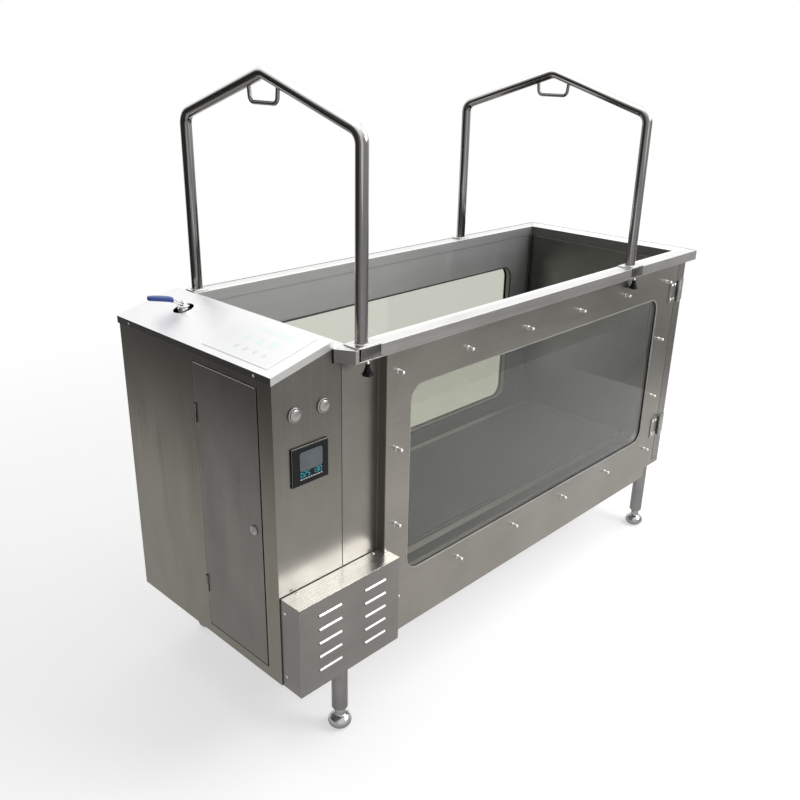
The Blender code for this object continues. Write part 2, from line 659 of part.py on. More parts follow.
def build_tank():
    """Welded tank: floor, inner skins, flanged side bodies, window frames, sill, base flange and drain."""
    profile = [
        (TANK_X, TANK_BOTTOM),
        (NOTCH_X, TANK_BOTTOM),
        (NOTCH_X, SILL_BOTTOM),
        (TANK_END, SILL_BOTTOM),
        (TANK_END, TANK_TOP),
        (TANK_X, TANK_TOP),
    ]
    tank = place("tank_shell", prism(profile, "y", NECK_NEAR, NECK_FAR), (TANK_X, MIDDLE_Y, TANK_BOTTOM), "brushed")
    hollow = [
        (TANK_X + SHEET, TANK_BOTTOM + SHEET),
        (NOTCH_X - SHEET, TANK_BOTTOM + SHEET),
        (NOTCH_X - SHEET, SILL_BOTTOM + SHEET),
        (TANK_END + SHEET, SILL_BOTTOM + SHEET),
        (TANK_END + SHEET, TANK_TOP + SHEET),
        (TANK_X + SHEET, TANK_TOP + SHEET),
    ]
    cut(tank, prism(hollow, "y", INNER_NEAR, INNER_FAR))
    for outer, skin, direction in ((BODY_NEAR, INNER_NEAR, 1), (BODY_FAR, INNER_FAR, -1)):
        reach = skin - direction * SHEET / 2
        low, high = sorted((outer, reach))
        add(tank, lofted_ring([
            (body_side_profile(TANK_BOTTOM), low),
            (body_side_profile(TANK_BOTTOM), high),
            (inset_profile(), high),
            (inset_profile(), low),
        ], "y"))
        add(tank, window_frame(outer, direction))
        cut(tank, prism(window_outline(0.0), "y", *sorted((outer - direction * SHEET, skin + direction * SHEET))))
    curb = (TANK_END - SHEET, TANK_END)
    add(tank, block(curb, (NECK_NEAR, NECK_FAR), (SILL_BOTTOM + SHEET / 2, END_CURB_TOP)))
    add(tank, block((TANK_END - SHEET, END_DOOR_X[1]), (PANEL_NEAR, PANEL_FAR), (SILL_BOTTOM, SILL_TOP)))
    flange_y = (BODY_NEAR + GAP, mirror_y(BODY_NEAR + GAP))
    add(tank, block((BASE_FLANGE_X, TANK_X + SHEET / 2), flange_y, (TANK_BOTTOM, -GAP)))
    cut(tank, turned("y", (DRIVE_ROLLER_X, ROLLER_Z), [
        (SHAFT_RADIUS + RUN_GAP, NECK_NEAR - SHEET),
        (SHAFT_RADIUS + RUN_GAP, INNER_NEAR + SHEET),
    ]))
    spigot_hole = SPIGOT_RADIUS + 2 * GAP
    cut(tank, turned("z", (RIGHT_ARCH_X[1], ARCH_FAR_Y), [
        (spigot_hole, TANK_TOP - 2 * SHEET),
        (spigot_hole, TANK_TOP + SHEET),
    ]))
    cut(tank, together([
        turned("x", (VALVE_Y, INLET_DROP_Z), [
            (INLET_RADIUS + GAP, TANK_X - SHEET),
            (INLET_RADIUS + GAP, TANK_X + 2 * SHEET),
        ]),
        turned("x", (PUMP_Y[0] + PUMP_RADIUS, RETURN_PIPE_Z), [
            (RETURN_PIPE_RADIUS + GAP, TANK_X - SHEET),
            (RETURN_PIPE_RADIUS + GAP, TANK_X + 2 * SHEET),
        ]),
    ]))
    add(tank, turned("z", (DRAIN_X, DRAIN_Y), [
        (DRAIN_RADIUS, TANK_BOTTOM - DRAIN_LENGTH),
        (DRAIN_RADIUS, TANK_BOTTOM + SHEET / 2),
    ]))
    cut(tank, turned("z", (DRAIN_X, DRAIN_Y), [
        (DRAIN_RADIUS - SHEET, TANK_BOTTOM - DRAIN_LENGTH - SHEET),
        (DRAIN_RADIUS - SHEET, TANK_BOTTOM + 2 * SHEET),
    ]))
    return tank


def build_window(side, outer_y, direction):
    """Bolted window panel, its seal and its pane on one side of the tank."""
    near_x = BODY_X
    sill_x = TANK_END - SHEET - GAP
    pivot = ((WINDOW_X[0] + WINDOW_X[1]) / 2, outer_y, (WINDOW_Z[0] + WINDOW_Z[1]) / 2)
    outline = [
        (near_x, TANK_BOTTOM),
        (NOTCH_X, TANK_BOTTOM),
        (NOTCH_X, SILL_BOTTOM),
        (sill_x, SILL_BOTTOM),
        (sill_x, SILL_TOP + GAP),
        (TANK_END, SILL_TOP + GAP),
        (TANK_END, PANEL_TOP),
        (near_x, PANEL_TOP),
    ]
    back = outer_y - direction * GAP
    front = back - direction * PANEL_THICKNESS
    panel = place(f"window_panel_{side}", prism(outline, "y", *sorted((front, back))), pivot, "brushed")
    cut(panel, prism(window_outline(0.0), "y", *sorted((front - direction * SHEET, back + direction * SHEET))))
    seal_front = outer_y
    seal_back = outer_y + direction * SEAL_THICKNESS
    seal_inner = PANE_OVERLAP - SEAL_WIDTH
    place(f"window_seal_{side}", lofted_ring([
        (window_outline(PANE_OVERLAP), seal_front),
        (window_outline(PANE_OVERLAP), seal_back),
        (window_outline(seal_inner), seal_back),
        (window_outline(seal_inner), seal_front),
    ], "y"), pivot, "rubber")
    pane_front = seal_back + direction * GAP
    pane_back = pane_front + direction * PANE_THICKNESS
    place(f"window_pane_{side}", prism(window_outline(PANE_OVERLAP), "y", *sorted((pane_front, pane_back))),
          pivot, "glass")


def rim_outline(left, chamfer_y, chamfer_x, near, right):
    """Six cornered outline of the rim, symmetrical about the tank's middle plane."""
    return [
        (left, chamfer_y),
        (chamfer_x, near),
        (right, near),
        (right, mirror_y(near)),
        (chamfer_x, mirror_y(near)),
        (left, mirror_y(chamfer_y)),
    ]


def build_rim():
    """Rim channel with chamfered left corners, clamp notches and their ledges."""
    diagonal = 0.62
    outer = rim_outline(RIM_LEFT_X, RIM_CHAMFER_Y, RIM_CHAMFER_X, RIM_OUTER_NEAR, RIM_RIGHT_X)
    inner = rim_outline(
        RIM_INNER_LEFT_X, RIM_INNER_NEAR + RIM_INNER_CHAMFER,
        RIM_INNER_LEFT_X + RIM_INNER_CHAMFER, RIM_INNER_NEAR, RIM_INNER_RIGHT_X)
    rim = place("rim_channel", ring_prism(outer, inner, "z", RIM_BOTTOM, RIM_TOP),
                (RIM_RIGHT_X / 2, MIDDLE_Y, RIM_TOP), "brushed")
    outer_cavity = rim_outline(
        RIM_LEFT_X + RIM_SHEET, RIM_CHAMFER_Y + diagonal * RIM_SHEET,
        RIM_CHAMFER_X + diagonal * RIM_SHEET, RIM_OUTER_NEAR + RIM_SHEET, RIM_RIGHT_X - RIM_SHEET)
    inner_cavity = rim_outline(
        RIM_INNER_LEFT_X - SHEET, RIM_INNER_NEAR + RIM_INNER_CHAMFER - SHEET / 2,
        RIM_INNER_LEFT_X + RIM_INNER_CHAMFER - SHEET / 2, RIM_INNER_NEAR - SHEET, RIM_INNER_RIGHT_X + SHEET)
    cut(rim, ring_prism(outer_cavity, inner_cavity, "z", RIM_BOTTOM - RIM_SHEET, RIM_TOP - RIM_SHEET))
    for foot_x in (LEFT_ARCH_X[0], RIGHT_ARCH_X[0]):
        notch_x = (foot_x - NOTCH_LEFT, foot_x + NOTCH_RIGHT)
        cut(rim, block(notch_x, (RIM_OUTER_NEAR - RIM_SHEET, NOTCH_INNER_Y),
                       (RIM_BOTTOM + LEDGE_THICKNESS, RIM_TOP + RIM_SHEET)))
        ledge_x = (notch_x[0] - RIM_SHEET, notch_x[1] + RIM_SHEET)
        add(rim, block(ledge_x, (RIM_OUTER_NEAR + RIM_SHEET / 2, LEDGE_INNER_Y),
                       (RIM_BOTTOM + GAP, RIM_BOTTOM + LEDGE_THICKNESS)))
        cut(rim, turned("z", (foot_x, KNOB_Y), [
            (STUD_RADIUS + RUN_GAP, RIM_BOTTOM - RIM_SHEET),
            (STUD_RADIUS + RUN_GAP, RIM_BOTTOM + 2 * LEDGE_THICKNESS),
        ], SMALL))
    for foot_x in (LEFT_ARCH_X[1], RIGHT_ARCH_X[1]):
        cut(rim, turned("z", (foot_x, ARCH_FAR_Y), [
            (SPIGOT_RADIUS + GAP, RIM_TOP - 2 * RIM_SHEET),
            (SPIGOT_RADIUS + GAP, RIM_TOP + RIM_SHEET),
        ], ROUND))
    return rim


def build_arch(name, feet_x):
    """Arch of bent tube with a hanging loop, a near foot with its tongue and a far foot with its spigot."""
    near_x, far_x = feet_x
    middle_x = (near_x + far_x) / 2
    middle_y = (ARCH_NEAR_Y + ARCH_FAR_Y) / 2
    plate_z = (rim_foot_z(), rim_foot_z() + FOOT_PLATE)
    weld = FOOT_PLATE / 2
    corners = [
        (near_x, ARCH_NEAR_Y, plate_z[0] + weld),
        (near_x, ARCH_NEAR_Y, ARCH_SHOULDER_Z),
        (middle_x, middle_y, ARCH_APEX_Z),
        (far_x, ARCH_FAR_Y, ARCH_SHOULDER_Z),
        (far_x, ARCH_FAR_Y, plate_z[0] + weld),
    ]
    bends = [ARCH_SHOULDER_BEND, ARCH_APEX_BEND, ARCH_SHOULDER_BEND]
    arch = place(name, bar(rounded_path(corners, bends, 5), ARCH_RADIUS, 4), (near_x, ARCH_NEAR_Y, rim_foot_z()),
                 "polished")
    along = Vector((far_x - near_x, ARCH_FAR_Y - ARCH_NEAR_Y, 0.0)).normalized()
    middle = Vector((middle_x, middle_y, 0.0))
    slope = (ARCH_APEX_Z - ARCH_SHOULDER_Z) / (Vector((middle_x - near_x, middle_y - ARCH_NEAR_Y, 0.0)).length)
    top_z = ARCH_APEX_Z - LOOP_HALF_TOP * slope
    loop = [
        middle - along * LOOP_HALF_TOP + Vector((0.0, 0.0, top_z)),
        middle - along * LOOP_HALF_BOTTOM + Vector((0.0, 0.0, ARCH_APEX_Z - LOOP_DROP)),
        middle + along * LOOP_HALF_BOTTOM + Vector((0.0, 0.0, ARCH_APEX_Z - LOOP_DROP)),
        middle + along * LOOP_HALF_TOP + Vector((0.0, 0.0, top_z)),
    ]
    add(arch, bar(rounded_path(loop, [LOOP_BEND, LOOP_BEND], 4), LOOP_RADIUS, 2))
    add(arch, block((near_x - FOOT_PLATE_LEFT, near_x + FOOT_PLATE_RIGHT), FOOT_PLATE_Y, plate_z))
    tongue_x = (near_x - TONGUE_LEFT, near_x + NOTCH_RIGHT - GAP)
    tongue_z = (RIM_BOTTOM + LEDGE_THICKNESS + 2 * GAP, plate_z[0] + weld)
    add(arch, block(tongue_x, TONGUE_Y, tongue_z))
    cut(arch, turned("z", (near_x, KNOB_Y), [
        (STUD_RADIUS + RUN_GAP, tongue_z[0] - FOOT_PLATE),
        (STUD_RADIUS + RUN_GAP, STUD_TOP + 2 * GAP),
    ], SMALL))
    add(arch, block((far_x - FAR_PLATE_HALF_X, far_x + FAR_PLATE_HALF_X),
                    (ARCH_FAR_Y - FAR_PLATE_HALF_Y, ARCH_FAR_Y + FAR_PLATE_HALF_Y), plate_z))
    add(arch, turned("z", (far_x, ARCH_FAR_Y), [
        (SPIGOT_RADIUS, RIM_TOP - SPIGOT_DEPTH),
        (SPIGOT_RADIUS, plate_z[0] + weld),
    ]))
    return arch


def lobed_outline(x, y, radius, lobes):
    """Outline of a star knob."""
    points = []
    count = lobes * 6
    for k in range(count):
        angle = 2 * math.pi * k / count
        reach = radius * (0.93 + 0.07 * math.cos(lobes * angle))
        points.append((x + reach * math.cos(angle), y + reach * math.sin(angle)))
    return points


def build_knob(name, foot_x):
    """Star knob with a tapered hub and the clamp stud."""
    chamfer = 0.0025
    loops = [
        (lobed_outline(foot_x, KNOB_Y, KNOB_RADIUS - chamfer, KNOB_LOBES), KNOB_BOTTOM),
        (lobed_outline(foot_x, KNOB_Y, KNOB_RADIUS, KNOB_LOBES), KNOB_BOTTOM + chamfer),
        (lobed_outline(foot_x, KNOB_Y, KNOB_RADIUS, KNOB_LOBES), KNOB_DISC_TOP - chamfer),
        (lobed_outline(foot_x, KNOB_Y, KNOB_RADIUS - chamfer, KNOB_LOBES), KNOB_DISC_TOP),
    ]
    bm = bmesh.new()
    rows = []
    for points, level in loops:
        rows.append([bm.verts.new(spot("z", level, a, b)) for a, b in points])
    count = len(rows[0])
    for row, other in zip(rows[:-1], rows[1:]):
        for k in range(count):
            following = (k + 1) % count
            bm.faces.new((row[k], row[following], other[following], other[k]))
    bm.faces.new(rows[0])
    bm.faces.new(rows[-1])
    knob = place(name, bm, (foot_x, KNOB_Y, KNOB_BOTTOM), "black")
    hub_base = KNOB_RADIUS * 0.66
    hub_top = KNOB_RADIUS * 0.38
    add(knob, turned("z", (foot_x, KNOB_Y), [
        (hub_base, KNOB_DISC_TOP - chamfer),
        (hub_base * 0.72, KNOB_DISC_TOP + chamfer),
        (hub_top, KNOB_HUB_TOP),
    ], SMALL))
    add(knob, turned("z", (foot_x, KNOB_Y), [
        (STUD_RADIUS, KNOB_DISC_TOP),
        (STUD_RADIUS, STUD_TOP),
    ], SMALL))
    return knob


def build_cabinet():
    """Sheet cabinet, open under the lid, with a framed door opening and the control holes."""
    under_lid = LID_CLEARANCE + SHEET
    inner_back = LID_BACK_X - SHEET - GAP
    profile = [
        (0.0, 0.0),
        (CABINET_LENGTH, 0.0),
        (CABINET_LENGTH, CABINET_SHOULDER_TOP),
        (inner_back, CABINET_SHOULDER_TOP),
        (inner_back, lid_top(inner_back) - under_lid),
        (0.0, lid_top(0.0) - under_lid),
    ]
    shell = place("cabinet_shell", prism(profile, "y", 0.0, CABINET_WIDTH),
                  (CABINET_LENGTH / 2, CABINET_WIDTH / 2, 0.0), "brushed")
    hollow = [
        (SHEET, SHEET),
        (CABINET_LENGTH - SHEET, SHEET),
        (CABINET_LENGTH - SHEET, CABINET_SHOULDER_TOP - SHEET),
        (inner_back - SHEET, CABINET_SHOULDER_TOP - SHEET),
        (inner_back - SHEET, LID_BACK_TOP + SHEET),
        (SHEET, LID_BACK_TOP + SHEET),
    ]
    cut(shell, prism(hollow, "y", SHEET, CABINET_WIDTH - SHEET))
    cut(shell, prism(rectangle(DOOR_OPENING_Y, DOOR_OPENING_Z), "x", -SHEET, 2 * SHEET))
    stop_back = DOOR_STOP_X + SHEET
    add(shell, lofted_ring([
        (rectangle(DOOR_OPENING_Y, DOOR_OPENING_Z, SHEET), SHEET / 2),
        (rectangle(DOOR_OPENING_Y, DOOR_OPENING_Z, SHEET), stop_back),
        (rectangle(DOOR_OPENING_Y, DOOR_OPENING_Z, -DOOR_STOP_WIDTH), stop_back),
        (rectangle(DOOR_OPENING_Y, DOOR_OPENING_Z, -DOOR_STOP_WIDTH), DOOR_STOP_X),
        (rectangle(DOOR_OPENING_Y, DOOR_OPENING_Z), DOOR_STOP_X),
        (rectangle(DOOR_OPENING_Y, DOOR_OPENING_Z), SHEET / 2),
    ], "x"))
    holes = []
    for button_x in BUTTON_X:
        holes.append(turned("y", (button_x, BUTTON_Z), [
            (BUTTON_STEM_RADIUS + RUN_GAP, -SHEET),
            (BUTTON_STEM_RADIUS + RUN_GAP, 2 * SHEET),
        ]))
    inset = DISPLAY_BODY_INSET - GAP
    holes.append(prism(rectangle(DISPLAY_X, DISPLAY_Z, -inset), "y", -SHEET, 2 * SHEET))
    holes.append(turned("y", (MOTOR_X, ROLLER_Z), [
        (MOTOR_SHAFT_RADIUS + SHEET, -SHEET),
        (MOTOR_SHAFT_RADIUS + SHEET, 2 * SHEET),
    ]))
    for centre, radius in (
        ((VALVE_Y, INLET_DROP_Z), INLET_RADIUS),
        ((PUMP_Y[0] + PUMP_RADIUS, RETURN_PIPE_Z), RETURN_PIPE_RADIUS),
    ):
        holes.append(turned("x", centre, [
            (radius + GAP, CABINET_LENGTH - 2 * SHEET),
            (radius + GAP, CABINET_LENGTH + SHEET),
        ]))
    cut(shell, together(holes))
    hinge = (-BULLET_OFFSET, DOOR_OPENING_Y[1] - GAP)
    clearances = []
    for level in BULLET_LEVELS:
        clearances.append(turned("z", hinge, [
            (BULLET_RADIUS + RUN_GAP, level - RUN_GAP),
            (BULLET_RADIUS + RUN_GAP, level + BULLET_HEIGHT + RUN_GAP),
        ], SMALL))
    cut(shell, together(clearances))
    for level in BULLET_LEVELS:
        add(shell, turned("z", (hinge[0], hinge[1]), [
            (BULLET_RADIUS, level - BULLET_HEIGHT),
            (BULLET_RADIUS, level - RUN_GAP),
            (BULLET_PIN_RADIUS, level - RUN_GAP),
            (BULLET_PIN_RADIUS, level + BULLET_HEIGHT / 2),
        ], SMALL))
    return shell


def build_cabinet_door():
    """Pan shaped door, flush with the end face, with a turning lock."""
    hinge = (-BULLET_OFFSET, DOOR_OPENING_Y[1] - GAP)
    door_y = (DOOR_OPENING_Y[0] + DOOR_NEAR_GAP, DOOR_OPENING_Y[1] - DOOR_HINGE_GAP)
    door_z = (DOOR_OPENING_Z[0] + DOOR_EDGE_GAP, DOOR_OPENING_Z[1] - DOOR_EDGE_GAP)
    pivot = (hinge[0], hinge[1], door_z[0])
    door = place("cabinet_door", block((0.0, DOOR_THICKNESS), door_y, door_z), pivot, "brushed")
    cut(door, prism(rectangle(door_y, door_z, -SHEET), "x", SHEET, DOOR_THICKNESS + SHEET))
    clearances = []
    for level in BULLET_LEVELS:
        clearances.append(turned("z", hinge, [
            (BULLET_RADIUS + RUN_GAP, level - BULLET_HEIGHT - RUN_GAP),
            (BULLET_RADIUS + RUN_GAP, level + RUN_GAP),
        ], SMALL))
    cut(door, together(clearances))
    for level in BULLET_LEVELS:
        add(door, turned("z", hinge, [
            (BULLET_RADIUS, level + RUN_GAP),
            (BULLET_RADIUS, level + BULLET_HEIGHT),
        ], SMALL))
        cut(door, turned("z", hinge, [
            (BULLET_PIN_RADIUS + RUN_GAP, level - RUN_GAP),
            (BULLET_PIN_RADIUS + RUN_GAP, level + BULLET_HEIGHT / 2 + RUN_GAP),
        ], SMALL))
    cut(door, turned("x", (LOCK_Y, LOCK_Z), [
        (LOCK_RADIUS + RUN_GAP, -SHEET),
        (LOCK_RADIUS + RUN_GAP, 2 * SHEET),
    ]))
    cam_x = DOOR_STOP_X + SHEET + SHEET / 2
    lock = place("cabinet_lock", turned("x", (LOCK_Y, LOCK_Z), [
        (LOCK_BEZEL_RADIUS * 0.85, -LOCK_BEZEL_DEPTH - GAP),
        (LOCK_BEZEL_RADIUS, -LOCK_BEZEL_DEPTH * 0.6),
        (LOCK_BEZEL_RADIUS, -GAP),
        (LOCK_RADIUS, -GAP),
        (LOCK_RADIUS, cam_x + CAM_THICKNESS / 2),
    ]), (0.0, LOCK_Y, LOCK_Z), "polished")
    add(lock, block((cam_x, cam_x + CAM_THICKNESS), (LOCK_Y - CAM_WIDTH / 2, LOCK_Y + CAM_WIDTH / 2),
                    (LOCK_Z - CAM_WIDTH / 2, LOCK_Z + CAM_LENGTH)))
    return door


def build_lid():
    """Sloping sheet lid with a lip all round and the valve hole."""
    outer = [
        (-LID_OVERHANG, LID_FRONT_TOP - LID_LIP),
        (LID_BACK_X, LID_BACK_TOP - LID_LIP),
        (LID_BACK_X, LID_BACK_TOP),
        (-LID_OVERHANG, LID_FRONT_TOP),
    ]
    lid = place("console_lid", prism(outer, "y", -LID_OVERHANG, CABINET_WIDTH + LID_OVERHANG),
                (LID_BACK_X / 2, CABINET_WIDTH / 2, LID_FRONT_TOP), "brushed")
    front = -LID_OVERHANG + SHEET
    back = LID_BACK_X - SHEET
    hollow = [
        (front, LID_FRONT_TOP - 2 * LID_LIP),
        (back, LID_FRONT_TOP - 2 * LID_LIP),
        (back, lid_top(back) - SHEET),
        (front, lid_top(front) - SHEET),
    ]
    cut(lid, prism(hollow, "y", -LID_OVERHANG + SHEET, CABINET_WIDTH + LID_OVERHANG - SHEET))
    cut(lid, turned("z", (VALVE_X, VALVE_Y), [
        (VALVE_HOLE_RADIUS, LID_FRONT_TOP),
        (VALVE_HOLE_RADIUS, LID_BACK_TOP),
    ]))
    membrane_low = GAP
    membrane_high = GAP + MEMBRANE_THICKNESS
    outline = [
        (MEMBRANE_X[0], lid_top(MEMBRANE_X[0]) + membrane_low),
        (MEMBRANE_X[1], lid_top(MEMBRANE_X[1]) + membrane_low),
        (MEMBRANE_X[1], lid_top(MEMBRANE_X[1]) + membrane_high),
        (MEMBRANE_X[0], lid_top(MEMBRANE_X[0]) + membrane_high),
    ]
    middle_x = (MEMBRANE_X[0] + MEMBRANE_X[1]) / 2
    place("control_membrane", prism(outline, "y", *MEMBRANE_Y),
          (middle_x, (MEMBRANE_Y[0] + MEMBRANE_Y[1]) / 2, lid_top(middle_x)), "membrane")
    return lid


def build_valve():
    """Inlet valve in the lid hole, its lever, and the pipe into the tank."""
    centre = (VALVE_X, VALVE_Y)
    body_low = LID_FRONT_TOP - LID_LIP
    body_high = lid_top(VALVE_X) + SHEET
    body = place("valve_body", turned("z", centre, [
        (VALVE_BODY_RADIUS * 0.86, body_low),
        (VALVE_BODY_RADIUS, body_low + 2 * SHEET),
        (VALVE_BODY_RADIUS, body_high),
        (VALVE_BODY_RADIUS * 0.86, body_high + SHEET),
    ]), (VALVE_X, VALVE_Y, body_low), "cast")
    add(body, turned("z", centre, [
        (VALVE_BONNET_RADIUS, body_high - SHEET),
        (VALVE_BONNET_RADIUS, VALVE_BONNET_TOP),
    ], 6))
    add(body, turned("z", centre, [
        (VALVE_STEM_RADIUS, VALVE_BONNET_TOP - SHEET),
        (VALVE_STEM_RADIUS, VALVE_STEM_TOP),
    ], SMALL))
    hub_low = VALVE_BONNET_TOP + RUN_GAP
    hub_high = VALVE_STEM_TOP - 2 * SHEET
    lever = place("valve_lever", turned_ring("z", centre, [
        (LEVER_HUB_RADIUS, hub_low),
        (LEVER_HUB_RADIUS, hub_high),
        (VALVE_STEM_RADIUS + RUN_GAP, hub_high),
        (VALVE_STEM_RADIUS + RUN_GAP, hub_low),
    ]), (VALVE_X, VALVE_Y, hub_low), "blue")
    along = Vector((math.cos(LEVER_ANGLE), math.sin(LEVER_ANGLE), 0.0))
    across = Vector((-along.y, along.x, 0.0))
    grip_low = hub_low + SHEET
    stations = (
        (LEVER_HUB_RADIUS * 0.8, 0.0, 0.70),
        (LEVER_HUB_RADIUS * 1.5, 0.0, 0.75),
        (LEVER_HUB_RADIUS * 2.8, LEVER_STEP, 0.95),
        (LEVER_LENGTH * 0.92, LEVER_RISE, 1.0),
        (LEVER_LENGTH, LEVER_RISE * 0.96, 0.8),
    )
    bm = bmesh.new()
    rows = []
    for distance, rise, share in stations:
        half = LEVER_WIDTH / 2 * share
        middle = Vector((VALVE_X, VALVE_Y, grip_low + rise)) + along * distance
        lift = Vector((0.0, 0.0, LEVER_THICKNESS))
        rows.append([
            bm.verts.new(middle - across * half),
            bm.verts.new(middle + across * half),
            bm.verts.new(middle + across * half + lift),
            bm.verts.new(middle - across * half + lift),
        ])
    for row, other in zip(rows[:-1], rows[1:]):
        for k in range(4):
            following = (k + 1) % 4
            bm.faces.new((row[k], row[following], other[following], other[k]))
    bm.faces.new(rows[0])
    bm.faces.new(rows[-1])
    add(lever, bm)
    pipe_top = body_low - GAP
    path = rounded_path([
        (VALVE_X, VALVE_Y, pipe_top),
        (VALVE_X, VALVE_Y, INLET_DROP_Z),
        (PIPE_END_X, VALVE_Y, INLET_DROP_Z),
    ], [INLET_BEND])
    place("inlet_pipe", bar(path, INLET_RADIUS, 4), (VALVE_X, VALVE_Y, INLET_DROP_Z), "polished")
    return body


def build_button(name, bezel_name, button_x):
    """Domed push button in a short bezel ring."""
    centre = (button_x, BUTTON_Z)
    shoulder = -BUTTON_TRAVEL - 2 * GAP
    rows = 3
    profile = []
    for k in range(rows + 1):
        angle = math.radians(8.0 + (90.0 - 8.0) * k / rows)
        radius = BUTTON_RADIUS * math.sin(angle)
        profile.append((radius, shoulder - BUTTON_DOME * math.cos(angle) - SHEET / 2))
    profile.append((BUTTON_RADIUS, shoulder))
    profile.append((BUTTON_STEM_RADIUS, shoulder))
    profile.append((BUTTON_STEM_RADIUS, BUTTON_STEM_LENGTH))
    place(name, turned("y", centre, profile), (button_x, shoulder, BUTTON_Z), "polished")
    inner = BUTTON_RADIUS + RUN_GAP
    outer = inner + BEZEL_WIDTH
    place(bezel_name, turned_ring("y", centre, [
        (outer, -GAP),
        (outer, -BEZEL_DEPTH * 0.5),
        (inner + BEZEL_WIDTH * 0.4, -BEZEL_DEPTH),
        (inner, -BEZEL_DEPTH),
        (inner, -GAP),
    ]), (button_x, -GAP, BUTTON_Z), "polished")


def build_display():
    """Display module with a sloped border, a body through the face, and its screen."""
    front = -DISPLAY_DEPTH
    middle_x = (DISPLAY_X[0] + DISPLAY_X[1]) / 2
    middle_z = (DISPLAY_Z[0] + DISPLAY_Z[1]) / 2
    bm = bmesh.new()
    loops = [
        (rectangle(DISPLAY_X, DISPLAY_Z), -GAP),
        (rectangle(DISPLAY_X, DISPLAY_Z), front * 0.6),
        (rectangle(DISPLAY_X, DISPLAY_Z, -DISPLAY_BORDER * 0.35), front),
    ]
    rows = []
    for points, level in loops:
        rows.append([bm.verts.new(spot("y", level, a, b)) for a, b in points])
    for row, other in zip(rows[:-1], rows[1:]):
        for k in range(4):
            following = (k + 1) % 4
            bm.faces.new((row[k], row[following], other[following], other[k]))
    bm.faces.new(rows[0])
    bm.faces.new(rows[-1])
    module = place("display_module", bm, (middle_x, -GAP, middle_z), "black", smooth=False)
    add(module, prism(rectangle(DISPLAY_X, DISPLAY_Z, -DISPLAY_BODY_INSET), "y", -SHEET, DISPLAY_BODY_DEPTH))
    cut(module, prism(rectangle(SCREEN_X, SCREEN_Z, GAP), "y", front - SHEET, front + SCREEN_RECESS))
    screen_front = front + SCREEN_RECESS - GAP - SCREEN_THICKNESS
    place("display_screen", prism(rectangle(SCREEN_X, SCREEN_Z), "y", screen_front,
                                  screen_front + SCREEN_THICKNESS),
          (middle_x, screen_front, middle_z), "screen", smooth=False)


def build_vent_cover():
    """Louvred sheet cover, open at the back, notched round the wider tank body."""
    front = -VENT_DEPTH
    cover = place("vent_cover", block(VENT_X, (front, -GAP), VENT_Z),
                  ((VENT_X[0] + VENT_X[1]) / 2, -GAP, VENT_Z[0]), "brushed")
    cut(cover, block((VENT_X[0] + VENT_SHEET, VENT_X[1] - VENT_SHEET), (front + VENT_SHEET, SHEET),
                     (VENT_Z[0] + VENT_SHEET, VENT_Z[1] - VENT_SHEET)))
    cut(cover, block((BODY_X - 2 * GAP, VENT_X[1] + SHEET), (PANEL_NEAR - 2 * GAP, SHEET),
                     (VENT_Z[0] - SHEET, VENT_Z[1] + SHEET)))
    slots = []
    hoods = []
    for centre_x in SLOT_CENTRES:
        for level in SLOT_LEVELS:
            span = (centre_x - SLOT_LENGTH / 2, centre_x + SLOT_LENGTH / 2)
            half = SLOT_HEIGHT / 2
            slots.append(prism(rounded_rectangle(span, (level - half, level + half), half, 0.0, 2), "y",
                               front - SHEET, front + 2 * SHEET))
            top = level + half
            tip_y = front - HOOD_REACH
            tip_z = top - HOOD_DROP
            hoods.append(prism([
                (front + VENT_SHEET / 2, top - HOOD_SHEET),
                (front + VENT_SHEET / 2, top + HOOD_SHEET),
                (front, top + HOOD_SHEET),
                (tip_y, tip_z + HOOD_SHEET),
                (tip_y, tip_z),
                (front, top - HOOD_SHEET / 2),
            ], "x", span[0] + half, span[1] - half))
    cut(cover, together(slots))
    add(cover, together(hoods))
    return cover


